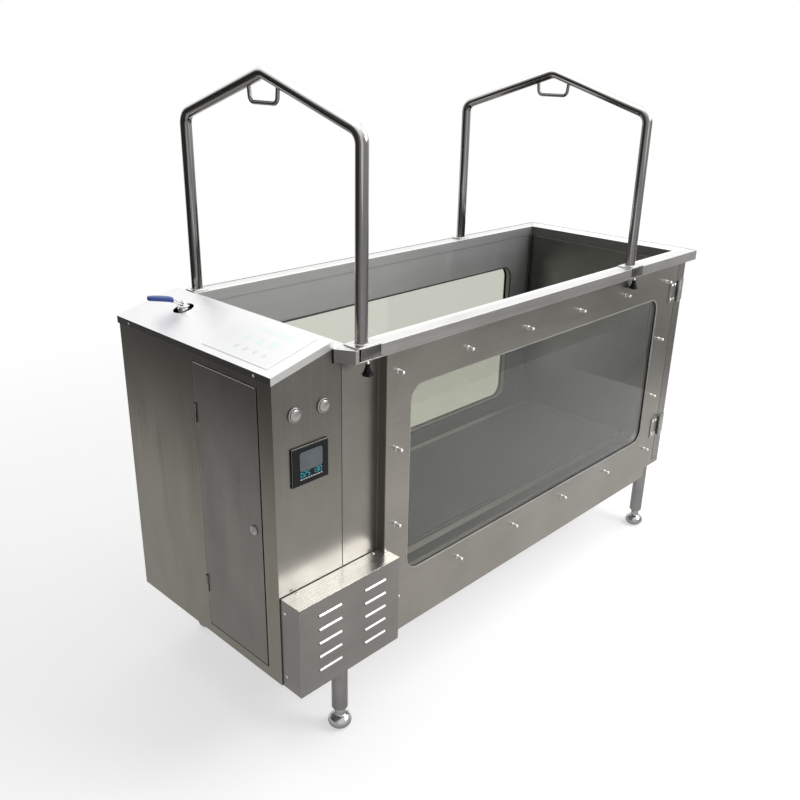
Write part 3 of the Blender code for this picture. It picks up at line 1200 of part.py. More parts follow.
def build_entry_door():
    """Pan shaped entry door with its liner, hinges, pull and the seal on the tank's end."""
    door_y = (PANEL_NEAR, PANEL_FAR)
    door_z = (END_DOOR_BOTTOM, END_DOOR_TOP)
    pivot = (HINGE_X, HINGE_Y, END_DOOR_BOTTOM)
    door = place("entry_door", block(END_DOOR_X, door_y, door_z), pivot, "brushed")
    cut(door, prism(rectangle(door_y, door_z, -END_DOOR_SHEET), "x",
                    END_DOOR_X[0] - SHEET, END_DOOR_X[1] - END_DOOR_SHEET))
    pull = rounded_path([
        (END_DOOR_X[1] - END_DOOR_SHEET / 2, PULL_Y, PULL_LEVEL - PULL_HALF_HEIGHT),
        (END_DOOR_X[1] + PULL_REACH, PULL_Y, PULL_LEVEL - PULL_HALF_HEIGHT),
        (END_DOOR_X[1] + PULL_REACH, PULL_Y, PULL_LEVEL + PULL_HALF_HEIGHT),
        (END_DOOR_X[1] - END_DOOR_SHEET / 2, PULL_Y, PULL_LEVEL + PULL_HALF_HEIGHT),
    ], [0.014, 0.014], 4)
    add(door, bar(pull, PULL_RADIUS, 2))
    holes = []
    for level in LATCH_LEVELS:
        holes.append(turned("x", (LATCH_Y, level), [
            (LATCH_SHAFT_RADIUS + RUN_GAP, END_DOOR_X[1] - 2 * END_DOOR_SHEET),
            (LATCH_SHAFT_RADIUS + RUN_GAP, END_DOOR_X[1] + END_DOOR_SHEET),
        ]))
    cut(door, together(holes))
    inset = END_DOOR_SHEET + GAP
    liner_x = (END_DOOR_X[0] + GAP, END_DOOR_X[0] + GAP + END_DOOR_SHEET)
    place("entry_door_liner", prism(rectangle(door_y, door_z, -inset), "x", *liner_x), pivot, "brushed")
    seal_x = (TANK_END + GAP, END_DOOR_X[0] - GAP)
    low = SILL_TOP + 2 * GAP
    outer_near = BODY_NEAR + GAP
    inner_near = outer_near + DOOR_SEAL_WIDTH
    place("entry_door_seal", prism([
        (outer_near, low),
        (mirror_y(outer_near), low),
        (mirror_y(outer_near), RIM_BOTTOM - SHEET),
        (mirror_y(inner_near), RIM_BOTTOM - SHEET),
        (mirror_y(inner_near), low + DOOR_SEAL_WIDTH),
        (inner_near, low + DOOR_SEAL_WIDTH),
        (inner_near, RIM_BOTTOM - SHEET),
        (outer_near, RIM_BOTTOM - SHEET),
    ], "x", *seal_x), (TANK_END, MIDDLE_Y, low), "rubber")
    leaf_y = (PANEL_NEAR - GAP - HINGE_LEAF, PANEL_NEAR - GAP)
    third = HINGE_HALF_HEIGHT / 3
    for label, level in zip(("lower", "upper"), HINGE_LEVELS):
        axis = (HINGE_X, HINGE_Y)
        low_z = level - HINGE_HALF_HEIGHT
        high_z = level + HINGE_HALF_HEIGHT
        fixed = place(f"hinge_{label}_fixed", block((HINGE_FIXED_LEAF_X, TANK_END - 2 * GAP), leaf_y,
                                                    (low_z, high_z)), (HINGE_X, HINGE_Y, level), "cast")
        for span in ((low_z, level - third - RUN_GAP), (level + third + RUN_GAP, high_z)):
            add(fixed, block((TANK_END - HINGE_BARREL_RADIUS, HINGE_X), leaf_y, span))
            add(fixed, turned("z", axis, [(HINGE_BARREL_RADIUS, span[0]), (HINGE_BARREL_RADIUS, span[1])]))
        add(fixed, turned("z", axis, [
            (HINGE_PIN_RADIUS, low_z + HINGE_LEAF),
            (HINGE_PIN_RADIUS, high_z - HINGE_LEAF),
        ], SMALL))
        moving = place(f"hinge_{label}_moving", block((HINGE_X + HINGE_BARREL_RADIUS + 2 * GAP, HINGE_MOVING_LEAF_X),
                                                      leaf_y, (low_z, high_z)),
                       (HINGE_X, HINGE_Y, level), "cast")
        knuckle = (level - third, level + third)
        add(moving, block((HINGE_X, HINGE_X + HINGE_BARREL_RADIUS + 2 * HINGE_LEAF), leaf_y, knuckle))
        add(moving, turned("z", axis, [(HINGE_BARREL_RADIUS, knuckle[0]), (HINGE_BARREL_RADIUS, knuckle[1])]))
        cut(moving, turned("z", axis, [
            (HINGE_PIN_RADIUS + RUN_GAP, low_z),
            (HINGE_PIN_RADIUS + RUN_GAP, high_z),
        ], SMALL))


def build_latch(label, level):
    """Lever latch on the entry door and its keeper: the tongue turns down behind the keeper's lip."""
    face = END_DOOR_X[1]
    tongue_x = (face + 2 * GAP, face + 2 * GAP + TONGUE_THICKNESS)
    collar = face - END_DOOR_SHEET - GAP
    hub_top = tongue_x[1] + LATCH_GRIP_OFFSET + LATCH_GRIP_THICKNESS
    lever = place(f"door_latch_{label}", turned("x", (LATCH_Y, level), [
        (LATCH_COLLAR_RADIUS, collar - LATCH_COLLAR_THICKNESS),
        (LATCH_COLLAR_RADIUS, collar),
        (LATCH_SHAFT_RADIUS, collar),
        (LATCH_SHAFT_RADIUS, tongue_x[0]),
        (LATCH_HUB_RADIUS, tongue_x[0]),
        (LATCH_HUB_RADIUS, hub_top),
    ]), (face, LATCH_Y, level), "cast")
    half = TONGUE_WIDTH / 2
    add(lever, block(tongue_x, (LATCH_Y - half, LATCH_Y + half), (level, level + TONGUE_REACH)))
    half = LATCH_GRIP_WIDTH / 2
    add(lever, prism([
        (LATCH_Y - half, level),
        (LATCH_Y + half, level),
        (LATCH_Y + half * 0.8, level - LATCH_GRIP_LENGTH),
        (LATCH_Y - half * 0.8, level - LATCH_GRIP_LENGTH),
    ], "x", hub_top - LATCH_GRIP_THICKNESS, hub_top - GAP))
    plate_y = (PANEL_FAR + GAP, PANEL_FAR + GAP + KEEPER_THICKNESS)
    top = level - TONGUE_WIDTH / 2 - 2 * GAP
    bottom = top - 2 * KEEPER_HALF_HEIGHT
    lip_x = (tongue_x[1] + 3 * GAP, tongue_x[1] + 3 * GAP + KEEPER_THICKNESS)
    keeper = place(f"keeper_{label}", block((KEEPER_PLATE_X, lip_x[1]), plate_y, (bottom, top)),
                   (KEEPER_PLATE_X, plate_y[0], level), "cast")
    lip_top = level + TONGUE_WIDTH / 2
    add(keeper, block(lip_x, (plate_y[0] + KEEPER_THICKNESS / 2, KEEPER_LIP_Y), (bottom + GAP, lip_top)))


def build_leg(number, x, y, top):
    """Round leg with its levelling foot."""
    leg = place(f"leg_{number}", turned("z", (x, y), [
        (LEG_RADIUS, LEG_BOTTOM),
        (LEG_RADIUS, top - GAP),
    ]), (x, y, top), "brushed")
    bore = FOOT_STUD_RADIUS + RUN_GAP
    cut(leg, turned("z", (x, y), [(bore, LEG_BOTTOM - SHEET), (bore, LEG_BOTTOM + LEG_BORE_DEPTH)], SMALL))
    profile = [(FOOT_BASE_RADIUS, FOOT_BOTTOM)]
    for angle in (-38.0, -14.0, 10.0, 34.0, 58.0):
        radius = FOOT_PAD_RADIUS * math.cos(math.radians(angle))
        profile.append((radius, FOOT_PAD_Z + FOOT_PAD_HALF_HEIGHT * math.sin(math.radians(angle))))
    profile.append((FOOT_NECK_RADIUS, FOOT_PAD_Z + FOOT_PAD_HALF_HEIGHT))
    profile.append((FOOT_NECK_RADIUS, LEG_BOTTOM - GAP))
    profile.append((FOOT_STUD_RADIUS, LEG_BOTTOM - GAP))
    profile.append((FOOT_STUD_RADIUS, FOOT_STUD_TOP))
    place(f"foot_{number}", turned("z", (x, y), profile, ROUND), (x, y, FOOT_BOTTOM), "polished")


def stadium(left, right, level, radius, steps=BELT_STEPS):
    """Outline of a belt round two equal rollers."""
    points = []
    for k in range(steps + 1):
        angle = -math.pi / 2 + math.pi * k / steps
        points.append((right + radius * math.cos(angle), level + radius * math.sin(angle)))
    for k in range(steps + 1):
        angle = math.pi / 2 + math.pi * k / steps
        points.append((left + radius * math.cos(angle), level + radius * math.sin(angle)))
    return points


def belt_outline(left, left_radius, right, right_radius, level, grow, steps=BELT_STEPS):
    """Outline of a belt round two pulleys of different radius, with straight tangent runs."""
    lean = math.asin((right_radius - left_radius) / (right - left))
    points = []
    for k in range(steps + 1):
        angle = -math.pi / 2 - lean + (math.pi + 2 * lean) * k / steps
        reach = (right_radius + grow) * FLAT_FACTOR
        points.append((right + reach * math.cos(angle), level + reach * math.sin(angle)))
    for k in range(steps + 1):
        angle = math.pi / 2 + lean + (math.pi - 2 * lean) * k / steps
        reach = (left_radius + grow) * FLAT_FACTOR
        points.append((left + reach * math.cos(angle), level + reach * math.sin(angle)))
    return points


def build_deck():
    """Deck frame, board, walking belt and the two rollers."""
    rail_far = (mirror_y(RAIL_Y[1]), mirror_y(RAIL_Y[0]))
    frame = place("deck_frame", block(RAIL_X, RAIL_Y, RAIL_Z),
                  ((RAIL_X[0] + RAIL_X[1]) / 2, MIDDLE_Y, RAIL_Z[0]), "brushed")
    add(frame, block(RAIL_X, rail_far, RAIL_Z))
    bars = []
    first = BOARD_X[0] + CROSS_BAR_INSET[0]
    pitch = (BOARD_X[1] - CROSS_BAR_INSET[1] - first) / (CROSS_BAR_COUNT - 1)
    for number in range(CROSS_BAR_COUNT):
        centre = first + number * pitch
        bars.append(block((centre - CROSS_BAR_WIDTH / 2, centre + CROSS_BAR_WIDTH / 2),
                          (RAIL_Y[1] - SHEET, rail_far[0] + SHEET), CROSS_BAR_Z))
    add(frame, together(bars))
    supports = []
    floor = TANK_BOTTOM + SHEET + GAP
    for centre in DECK_LEG_X:
        for y in (RAIL_Y, rail_far):
            supports.append(block((centre - DECK_LEG_WIDTH / 2, centre + DECK_LEG_WIDTH / 2), y,
                                  (floor, RAIL_Z[0] + SHEET)))
    add(frame, together(supports))
    holes = []
    for roller_x in (DRIVE_ROLLER_X, TAIL_ROLLER_X):
        holes.append(turned("y", (roller_x, ROLLER_Z), [
            (SHAFT_RADIUS + RUN_GAP, RAIL_Y[0] - SHEET),
            (SHAFT_RADIUS + RUN_GAP, rail_far[1] + SHEET),
        ]))
    cut(frame, together(holes))
    board_top = BOARD_TOP
    place("deck_board", block(BOARD_X, (RAIL_Y[1] + GAP, rail_far[0] - GAP), (board_top - BOARD_THICKNESS, board_top)),
          ((BOARD_X[0] + BOARD_X[1]) / 2, MIDDLE_Y, board_top), "board")
    outer = stadium(DRIVE_ROLLER_X, TAIL_ROLLER_X, ROLLER_Z, BELT_INNER_RADIUS + BELT_THICKNESS)
    inner = stadium(DRIVE_ROLLER_X, TAIL_ROLLER_X, ROLLER_Z, BELT_INNER_RADIUS)
    place("walking_belt", ring_prism(outer, inner, "y", *BELT_Y),
          ((DRIVE_ROLLER_X + TAIL_ROLLER_X) / 2, MIDDLE_Y, ROLLER_Z), "rubber")
    shaft_far = mirror_y(RAIL_Y[0]) + 2 * SHEET
    place("drive_roller", turned("y", (DRIVE_ROLLER_X, ROLLER_Z), [
        (SHAFT_RADIUS, PULLEY_Y[0] - 2 * SHEET),
        (SHAFT_RADIUS, ROLLER_Y[0]),
        (ROLLER_RADIUS, ROLLER_Y[0]),
        (ROLLER_RADIUS, ROLLER_Y[1]),
        (SHAFT_RADIUS, ROLLER_Y[1]),
        (SHAFT_RADIUS, shaft_far),
    ]), (DRIVE_ROLLER_X, MIDDLE_Y, ROLLER_Z), "cast")
    place("tail_roller", turned("y", (TAIL_ROLLER_X, ROLLER_Z), [
        (SHAFT_RADIUS, mirror_y(shaft_far)),
        (SHAFT_RADIUS, ROLLER_Y[0]),
        (ROLLER_RADIUS, ROLLER_Y[0]),
        (ROLLER_RADIUS, ROLLER_Y[1]),
        (SHAFT_RADIUS, ROLLER_Y[1]),
        (SHAFT_RADIUS, shaft_far),
    ]), (TAIL_ROLLER_X, MIDDLE_Y, ROLLER_Z), "cast")


def pulley_profile(radius, bore, y):
    """Closed section of a flanged pulley."""
    flange = radius + PULLEY_FLANGE
    width = PULLEY_FLANGE_WIDTH
    return [
        (flange, y[0]),
        (flange, y[0] + width),
        (radius, y[0] + width),
        (radius, y[1] - width),
        (flange, y[1] - width),
        (flange, y[1]),
        (bore, y[1]),
        (bore, y[0]),
    ]


def build_drive():
    """Pulleys, drive belt, gear motor and the shaft seal on the tank wall."""
    place("roller_pulley", turned_ring("y", (DRIVE_ROLLER_X, ROLLER_Z), pulley_profile(
        ROLLER_PULLEY_RADIUS, SHAFT_RADIUS + GAP, PULLEY_Y)), (DRIVE_ROLLER_X, PULLEY_Y[0], ROLLER_Z), "cast")
    flange = MOTOR_PULLEY_RADIUS + PULLEY_FLANGE
    width = PULLEY_FLANGE_WIDTH
    place("motor_pulley", turned("y", (MOTOR_X, ROLLER_Z), [
        (flange, PULLEY_Y[0]),
        (flange, PULLEY_Y[0] + width),
        (MOTOR_PULLEY_RADIUS, PULLEY_Y[0] + width),
        (MOTOR_PULLEY_RADIUS, PULLEY_Y[1] - width),
        (flange, PULLEY_Y[1] - width),
        (flange, PULLEY_Y[1]),
        (MOTOR_SHAFT_RADIUS, PULLEY_Y[1]),
        (MOTOR_SHAFT_RADIUS, SHEET + MOTOR_SHAFT_REACH),
    ]), (MOTOR_X, PULLEY_Y[0], ROLLER_Z), "cast")
    belt_y = (PULLEY_Y[0] + width + GAP, PULLEY_Y[1] - width - GAP)
    place("drive_belt", ring_prism(
        belt_outline(MOTOR_X, MOTOR_PULLEY_RADIUS, DRIVE_ROLLER_X, ROLLER_PULLEY_RADIUS, ROLLER_Z,
                     GAP + DRIVE_BELT_THICKNESS),
        belt_outline(MOTOR_X, MOTOR_PULLEY_RADIUS, DRIVE_ROLLER_X, ROLLER_PULLEY_RADIUS, ROLLER_Z, GAP),
        "y", *belt_y), ((MOTOR_X + DRIVE_ROLLER_X) / 2, belt_y[0], ROLLER_Z), "rubber")
    gear_y = (SHEET + GAP, GEARBOX_BACK_Y)
    gear_z = (SHEET + GAP, ROLLER_Z + GEARBOX_HALF)
    motor = place("gear_motor", block((MOTOR_X - GEARBOX_HALF, MOTOR_X + GEARBOX_HALF), gear_y, gear_z),
                  (MOTOR_X, gear_y[0], ROLLER_Z), "painted")
    add(motor, turned("y", (MOTOR_X, ROLLER_Z), [
        (MOTOR_RADIUS, GEARBOX_BACK_Y - SHEET),
        (MOTOR_RADIUS, MOTOR_BACK_Y - 0.010),
        (MOTOR_RADIUS - 0.010, MOTOR_BACK_Y),
    ], LARGE))
    cut(motor, turned("y", (MOTOR_X, ROLLER_Z), [
        (MOTOR_SHAFT_RADIUS + RUN_GAP, -SHEET),
        (MOTOR_SHAFT_RADIUS + RUN_GAP, 2 * SHEET + MOTOR_SHAFT_REACH),
    ], ROUND))
    place("shaft_seal", turned_ring("y", (DRIVE_ROLLER_X, ROLLER_Z), [
        (WALL_SEAL_RADIUS, NECK_NEAR - GAP),
        (WALL_SEAL_RADIUS, NECK_NEAR - WALL_SEAL_DEPTH * 0.6),
        (WALL_SEAL_RADIUS * 0.7, NECK_NEAR - WALL_SEAL_DEPTH),
        (SHAFT_RADIUS + RUN_GAP, NECK_NEAR - WALL_SEAL_DEPTH),
        (SHAFT_RADIUS + RUN_GAP, NECK_NEAR - GAP),
    ]), (DRIVE_ROLLER_X, NECK_NEAR, ROLLER_Z), "rubber")


def build_water_equipment():
    """Pump, return pipe, heater and control box in the cabinet."""
    pump = place("circulation_pump", turned("y", (PUMP_X, PUMP_Z), [
        (PUMP_RADIUS * 0.55, PUMP_Y[0]),
        (PUMP_RADIUS, PUMP_Y[0] + 0.012),
        (PUMP_RADIUS, PUMP_Y[0] + 0.055),
        (PUMP_RADIUS * 0.72, PUMP_Y[0] + 0.062),
        (PUMP_RADIUS * 0.72, PUMP_Y[1] - 0.012),
        (PUMP_RADIUS * 0.60, PUMP_Y[1]),
    ], LARGE), (PUMP_X, PUMP_Y[0], PUMP_Z), "painted")
    add(pump, block((PUMP_X - 0.040, PUMP_X + 0.040), (PUMP_Y[0] + 0.070, PUMP_Y[1] - 0.030),
                    (SHEET + GAP, PUMP_Z)))
    add(pump, block((PUMP_X - 0.030, PUMP_X + 0.030), (PUMP_Y[0] + 0.020, PUMP_Y[0] + 0.050),
                    (SHEET + GAP, PUMP_Z)))
    riser_y = PUMP_Y[0] + PUMP_RADIUS
    outlet = PUMP_Y[0] + 0.034
    add(pump, turned("z", (PUMP_X, outlet), [
        (RETURN_PIPE_RADIUS * 1.35, PUMP_Z + PUMP_RADIUS * 0.8),
        (RETURN_PIPE_RADIUS * 1.35, PUMP_Z + PUMP_RADIUS + 0.016),
    ]))
    start_z = PUMP_Z + PUMP_RADIUS + 0.016 + GAP
    place("return_pipe", bar(rounded_path([
        (PUMP_X, outlet, start_z),
        (PUMP_X, outlet, start_z + 0.034),
        (PUMP_X, riser_y, RETURN_PIPE_Z),
        (PIPE_END_X, riser_y, RETURN_PIPE_Z),
    ], [0.016, 0.020], 5), RETURN_PIPE_RADIUS, 4), (PUMP_X, outlet, start_z), "pvc")
    heater_y = CABINET_WIDTH - SHEET - GAP - HEATER_STANDOFF - HEATER_RADIUS
    heater = place("water_heater", turned("z", (HEATER_X, heater_y), [
        (HEATER_RADIUS * 0.70, HEATER_Z[0]),
        (HEATER_RADIUS, HEATER_Z[0] + 0.014),
        (HEATER_RADIUS, HEATER_Z[1] - 0.014),
        (HEATER_RADIUS * 0.70, HEATER_Z[1]),
    ], ROUND), (HEATER_X, heater_y, HEATER_Z[0]), "polished")
    brackets = []
    for level in (HEATER_Z[0] + 2 * HEATER_BRACKET_WIDTH, HEATER_Z[1] - 3 * HEATER_BRACKET_WIDTH):
        brackets.append(block((HEATER_X - HEATER_BRACKET_WIDTH / 2, HEATER_X + HEATER_BRACKET_WIDTH / 2),
                              (heater_y, CABINET_WIDTH - SHEET - GAP), (level, level + HEATER_BRACKET_WIDTH)))
    add(heater, together(brackets))
    box_x = (CABINET_LENGTH - SHEET - GAP - CONTROL_BOX_DEPTH, CABINET_LENGTH - SHEET - GAP)
    place("control_box", block(box_x, CONTROL_BOX_Y, CONTROL_BOX_Z),
          (box_x[1], CONTROL_BOX_Y[0], CONTROL_BOX_Z[0]), "painted")


def build_machine():
    """Build every piece of the treadmill."""
    for old in list(bpy.data.objects):
        bpy.data.objects.remove(old, do_unlink=True)
    build_tank()
    build_window("near", BODY_NEAR, 1)
    build_window("far", BODY_FAR, -1)
    build_rim()
    build_arch("left_arch", LEFT_ARCH_X)
    build_arch("right_arch", RIGHT_ARCH_X)
    build_knob("left_clamp_knob", LEFT_ARCH_X[0])
    build_knob("right_clamp_knob", RIGHT_ARCH_X[0])
    build_cabinet()
    build_cabinet_door()
    build_lid()
    build_valve()
    build_button("start_button", "start_bezel", BUTTON_X[0])
    build_button("stop_button", "stop_bezel", BUTTON_X[1])
    build_display()
    build_vent_cover()
    build_entry_door()
    for label, level in zip(("lower", "upper"), LATCH_LEVELS):
        build_latch(label, level)
    near_leg_y = BODY_NEAR + LEG_INSET
    far_leg_y = mirror_y(near_leg_y)
    build_leg("near_left", LEG_X[0], near_leg_y, TANK_BOTTOM)
    build_leg("near_right", LEG_X[1], near_leg_y, SILL_BOTTOM)
    build_leg("far_left", LEG_X[0], far_leg_y, TANK_BOTTOM)
    build_leg("far_right", LEG_X[1], far_leg_y, SILL_BOTTOM)
    build_deck()
    build_drive()
    build_water_equipment()


build_machine()
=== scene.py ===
# %% [markdown]
# # A stainless walking tank for dogs
# The machine is a long steel tank on four legs. It has a bolted window in each side, a cabinet with the
# controls at the left end, and two bent tube arches over the rim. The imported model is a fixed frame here:
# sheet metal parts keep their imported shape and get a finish, and the round parts are worked out again as
# smooth surfaces, because a turned or bent part shows every facet in a shiny finish.

import json
import math

import bmesh
import bpy
import numpy as np
from mathutils import Matrix, Vector


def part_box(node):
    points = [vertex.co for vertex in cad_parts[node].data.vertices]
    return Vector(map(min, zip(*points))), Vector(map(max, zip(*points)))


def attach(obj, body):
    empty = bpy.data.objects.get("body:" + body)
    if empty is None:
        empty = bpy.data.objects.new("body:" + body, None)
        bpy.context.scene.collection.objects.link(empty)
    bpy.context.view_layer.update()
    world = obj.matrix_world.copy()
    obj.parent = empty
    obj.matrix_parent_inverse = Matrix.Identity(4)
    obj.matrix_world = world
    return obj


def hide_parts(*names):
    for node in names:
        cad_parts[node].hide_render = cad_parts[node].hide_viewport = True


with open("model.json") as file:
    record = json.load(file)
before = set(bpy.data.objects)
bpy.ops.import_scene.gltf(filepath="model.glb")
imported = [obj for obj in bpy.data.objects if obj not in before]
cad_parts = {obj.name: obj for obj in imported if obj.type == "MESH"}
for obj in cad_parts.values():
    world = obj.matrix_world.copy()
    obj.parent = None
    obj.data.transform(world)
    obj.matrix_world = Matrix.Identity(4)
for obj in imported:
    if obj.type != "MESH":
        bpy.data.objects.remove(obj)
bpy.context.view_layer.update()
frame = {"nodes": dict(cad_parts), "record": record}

# %% [markdown]
# ## Where things are
# The drawing measures from the cabinet's outer end, its near face and its underside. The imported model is
# shifted so that the floor point under its middle is zero. One small helper takes a drawing point to the
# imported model's place, so every piece below can be written in drawing numbers.

# %% Drawing coordinates
SHIFT = np.array([1.0945, 0.3482, -0.2815])
RIGHT, BACK, UP = np.eye(3)


def spot(x, y, z):
    """Packed place of a drawing point: the point less the shift."""
    return np.array([x, y, z], float) - SHIFT


BODY_OF = {}
for body_name, node_names in frame["record"]["behaviour"]["bodies"].items():
    for node_name in node_names:
        BODY_OF[node_name] = body_name

# %% [markdown]
# ## Making a surface from a grid of points
# Every turned, bent or pressed part here is a grid: one direction runs round the part, the other along it.
# The whole grid is worked out at once as an array, and this helper turns it into a mesh. Each row of the
# grid is closed, as round a tube. The rows may close too, as on a ring, or the two ends may get a flat cap.
# The UV map holds the distance along the part and the distance round it, both in metres.

# %% Grid to mesh
# Each kind of grid says whether its rows close on themselves and whether its two ends get a cap.
ROUND, CAPPED, RING = (False, False), (False, True), (True, False)


def grid_faces(rows, columns, close_rows, start):
    """Four corners of every cell of a grid, numbered row by row; a closed direction wraps to the start."""
    i, j = np.meshgrid(np.arange(rows if close_rows else rows - 1), np.arange(columns), indexing="ij")
    i2, j2 = (i + 1) % rows, (j + 1) % columns
    cells = np.stack([i * columns + j, i * columns + j2, i2 * columns + j2, i2 * columns + j], axis=-1)
    return (cells.reshape(-1, 4) + start).tolist()


def distances(grid, axis):
    """Mean distance from the first line of a grid to each of its lines, added up step by step."""
    steps = np.linalg.norm(np.diff(grid, axis=axis), axis=2).mean(axis=1 - axis)
    return np.concatenate([[0.0], np.cumsum(steps)])


def turn_outward(mesh):
    """Turn all the faces so that each closed part's normals point away from its inside."""
    bm = bmesh.new()
    bm.from_mesh(mesh)
    bmesh.ops.recalc_face_normals(bm, faces=bm.faces)
    bm.to_mesh(mesh)
    bm.free()


def add_object(name, data):
    """A new object in the scene that holds a mesh, a lamp or a camera."""
    made = bpy.data.objects.new(name, data)
    bpy.context.scene.collection.objects.link(made)
    return made


def surface(name, grids, finish, body, stands_for=(), smooth=40.0):
    """One object from several (points, close_rows, caps); edges sharper than smooth degrees stay hard."""
    points, faces, runs = [], [], []
    count = 0
    for grid, close_rows, caps in grids:
        rows, columns = grid.shape[:2]
        points.append(grid.reshape(-1, 3))
        faces += grid_faces(rows, columns, close_rows, count)
        if caps:
            first = list(range(count, count + columns))
            last = list(range(count + (rows - 1) * columns, count + rows * columns))
            faces += [first[::-1], last]
        along, around = np.meshgrid(distances(grid, 0), distances(grid, 1), indexing="ij")
        runs.append(np.stack([along, around], axis=-1).reshape(-1, 2))
        count += rows * columns
    mesh = bpy.data.meshes.new(name)
    mesh.from_pydata(np.concatenate(points).tolist(), [], faces)
    layer = mesh.uv_layers.new(name="run")
    corner = np.zeros(len(mesh.loops), int)
    mesh.loops.foreach_get("vertex_index", corner)
    layer.data.foreach_set("uv", np.concatenate(runs)[corner].reshape(-1).astype(np.float32))
    mesh.validate()
    turn_outward(mesh)
    mesh.shade_smooth()
    mesh.set_sharp_from_angle(angle=math.radians(smooth))
    mesh.materials.append(finish)
    piece = add_object(name, mesh)
    if stands_for:
        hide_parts(*stands_for)
    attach(piece, body)


print("mesh helpers ready")

# %% [markdown]
# ## Three families of shapes
# A *turned* part is a profile carried round an axis. A *bent bar* is a circle carried along a path with
# round corners. A *plate* is an outline whose edge is rolled over by a small radius, so that the light
# finds an edge on it, as it does on real sheet metal.


# %% Turned, bent and flat shapes
def circle(count):
    """Evenly spaced angles round one full turn."""
    return np.linspace(0, 2 * np.pi, count, endpoint=False)


def unit(vector):
    """The same direction with length one."""
    return vector / np.linalg.norm(vector, axis=-1, keepdims=True)


def across_axes(axis):
    """Two unit directions across an axis: axis x helper, and axis x that one."""
    helper = UP if abs(axis[2]) < 0.9 else RIGHT
    first = unit(np.cross(axis, helper))
    return first, np.cross(axis, first)


def turned(centre, axis, profile, sides=48):
    """Grid of a turned part: centre + axis * level + radius * (cos t, sin t) across the axis."""
    axis = np.array(axis, float)
    a, b = across_axes(axis)
    t = circle(sides)
    round_way = np.cos(t)[:, None] * a + np.sin(t)[:, None] * b
    radius, level = np.array(profile, float).T
    return level[:, None, None] * axis + radius[:, None, None] * round_way + centre


def stacked(centre, profile, ring):
    """Grid of an upright part with any outline: centre + radius * outline + level * up."""
    radius, level = np.array(profile, float).T
    return centre + radius[:, None, None] * ring + level[:, None, None] * UP


def arc_path(corners, radii, steps=14):
    """Path through corners with an arc at each inner corner: centre + start * cos + side * sin."""
    corners = np.array(corners, float)
    parts = [corners[:1]]
    for k, radius in enumerate(radii):
        before, corner, after = corners[k:k + 3]
        into, out = unit(corner - before), unit(after - corner)
        turn = math.acos(float(np.clip(into @ out, -1, 1)))
        centre = corner + unit(out - into) * radius / math.cos(turn / 2)
        start = corner - into * radius * math.tan(turn / 2) - centre
        side = np.cross(unit(np.cross(into, out)), start)
        angle = np.linspace(0, turn, steps + 1)[:, None]
        parts.append(centre + start * np.cos(angle) + side * np.sin(angle))
    parts.append(corners[-1:])
    return np.concatenate(parts)


def refine(path, longest):
    """The same path with points added so that no step is longer than a given length."""
    steps = np.linalg.norm(np.diff(path, axis=0), axis=1)
    run = np.concatenate([[0.0], np.cumsum(steps)])
    extra = np.arange(0, run[-1], longest)
    every = np.unique(np.concatenate([run, extra]).round(7))
    return np.stack([np.interp(every, run, path[:, k]) for k in range(3)], axis=1)


def bent_bar(path, radius, normal, sides=32):
    """Grid of a round bar in one plane: path + radius * (cos t * normal + sin t * across)."""
    tangent = unit(np.gradient(path, axis=0))
    normal = unit(np.array(normal, float))
    across = unit(np.cross(tangent, normal))
    t = circle(sides)
    ring = np.cos(t)[None, :, None] * normal + np.sin(t)[None, :, None] * across[:, None]
    radius = np.broadcast_to(np.asarray(radius, float).reshape(-1, 1, 1), (len(path), 1, 1))
    return path[:, None] + radius * ring


def straight_bar(start, end, radius, normal=(0.3, 0.2, 0.93), sides=8):
    """Round bar between two drawing points, with flat ends."""
    path = refine(np.array([spot(*start), spot(*end)]), 0.05)
    return bent_bar(path, radius, normal, sides), *CAPPED


def soft_rectangle(half_a, half_b, corner, steps=5):
    """Outline of a rectangle about zero with round corners: four arcs, one after the other."""
    t = np.linspace(0, np.pi / 2, steps + 1)
    signs = np.array([(1, -1), (1, 1), (-1, 1), (-1, -1)])
    starts = np.array([-np.pi / 2, 0.0, np.pi / 2, np.pi])
    middle = signs * (np.array([half_a, half_b]) - corner)
    angle = starts[:, None] + t[None]
    arcs = middle[:, None] + corner * np.stack([np.cos(angle), np.sin(angle)], axis=-1)
    return arcs.reshape(-1, 2)


def plate(centre, a, b, half_a, half_b, corner, thickness, edge, steps=3):
    """Grid of a plate with rolled edges: the outline shrinks by edge * (1 - sin t) near each face."""
    outline = soft_rectangle(half_a, half_b, corner)
    inner = soft_rectangle(half_a - edge, half_b - edge, max(corner - edge, 1e-4))
    t = np.linspace(0, np.pi / 2, steps + 1)
    share = np.concatenate([np.sin(t), np.cos(t)])
    level = np.concatenate([edge * (1 - np.cos(t)), thickness - edge + edge * np.sin(t)])
    rows = inner + (outline - inner) * share[:, None, None]
    return (centre + rows[..., :1] * a + rows[..., 1:] * b + level[:, None, None] * np.cross(a, b), *CAPPED)


print("shape helpers ready")

# %% [markdown]
# ## Shared effects for steel
# Brushed sheet has very fine lines in one direction, a little cloudiness, and edges that are rubbed
# brighter. Each of these is a node group with named sockets, so that every steel part uses the same
# effect with its own values. A group puts out only numbers and normals; the shader stays in the material.
#
# The helpers below write a node in one line. A value may be a number, a colour, or the output of another
# node, and in the last case the two nodes are linked.


# %% Node helpers
def feed(tree, value, socket):
    """Link an output to an input socket, or write a number, a vector or a colour into it."""
    if isinstance(value, bpy.types.NodeSocket):
        tree.links.new(value, socket)
    elif socket.type == "RGBA":
        socket.default_value = (*value[:3], 1.0)
    else:
        socket.default_value = value


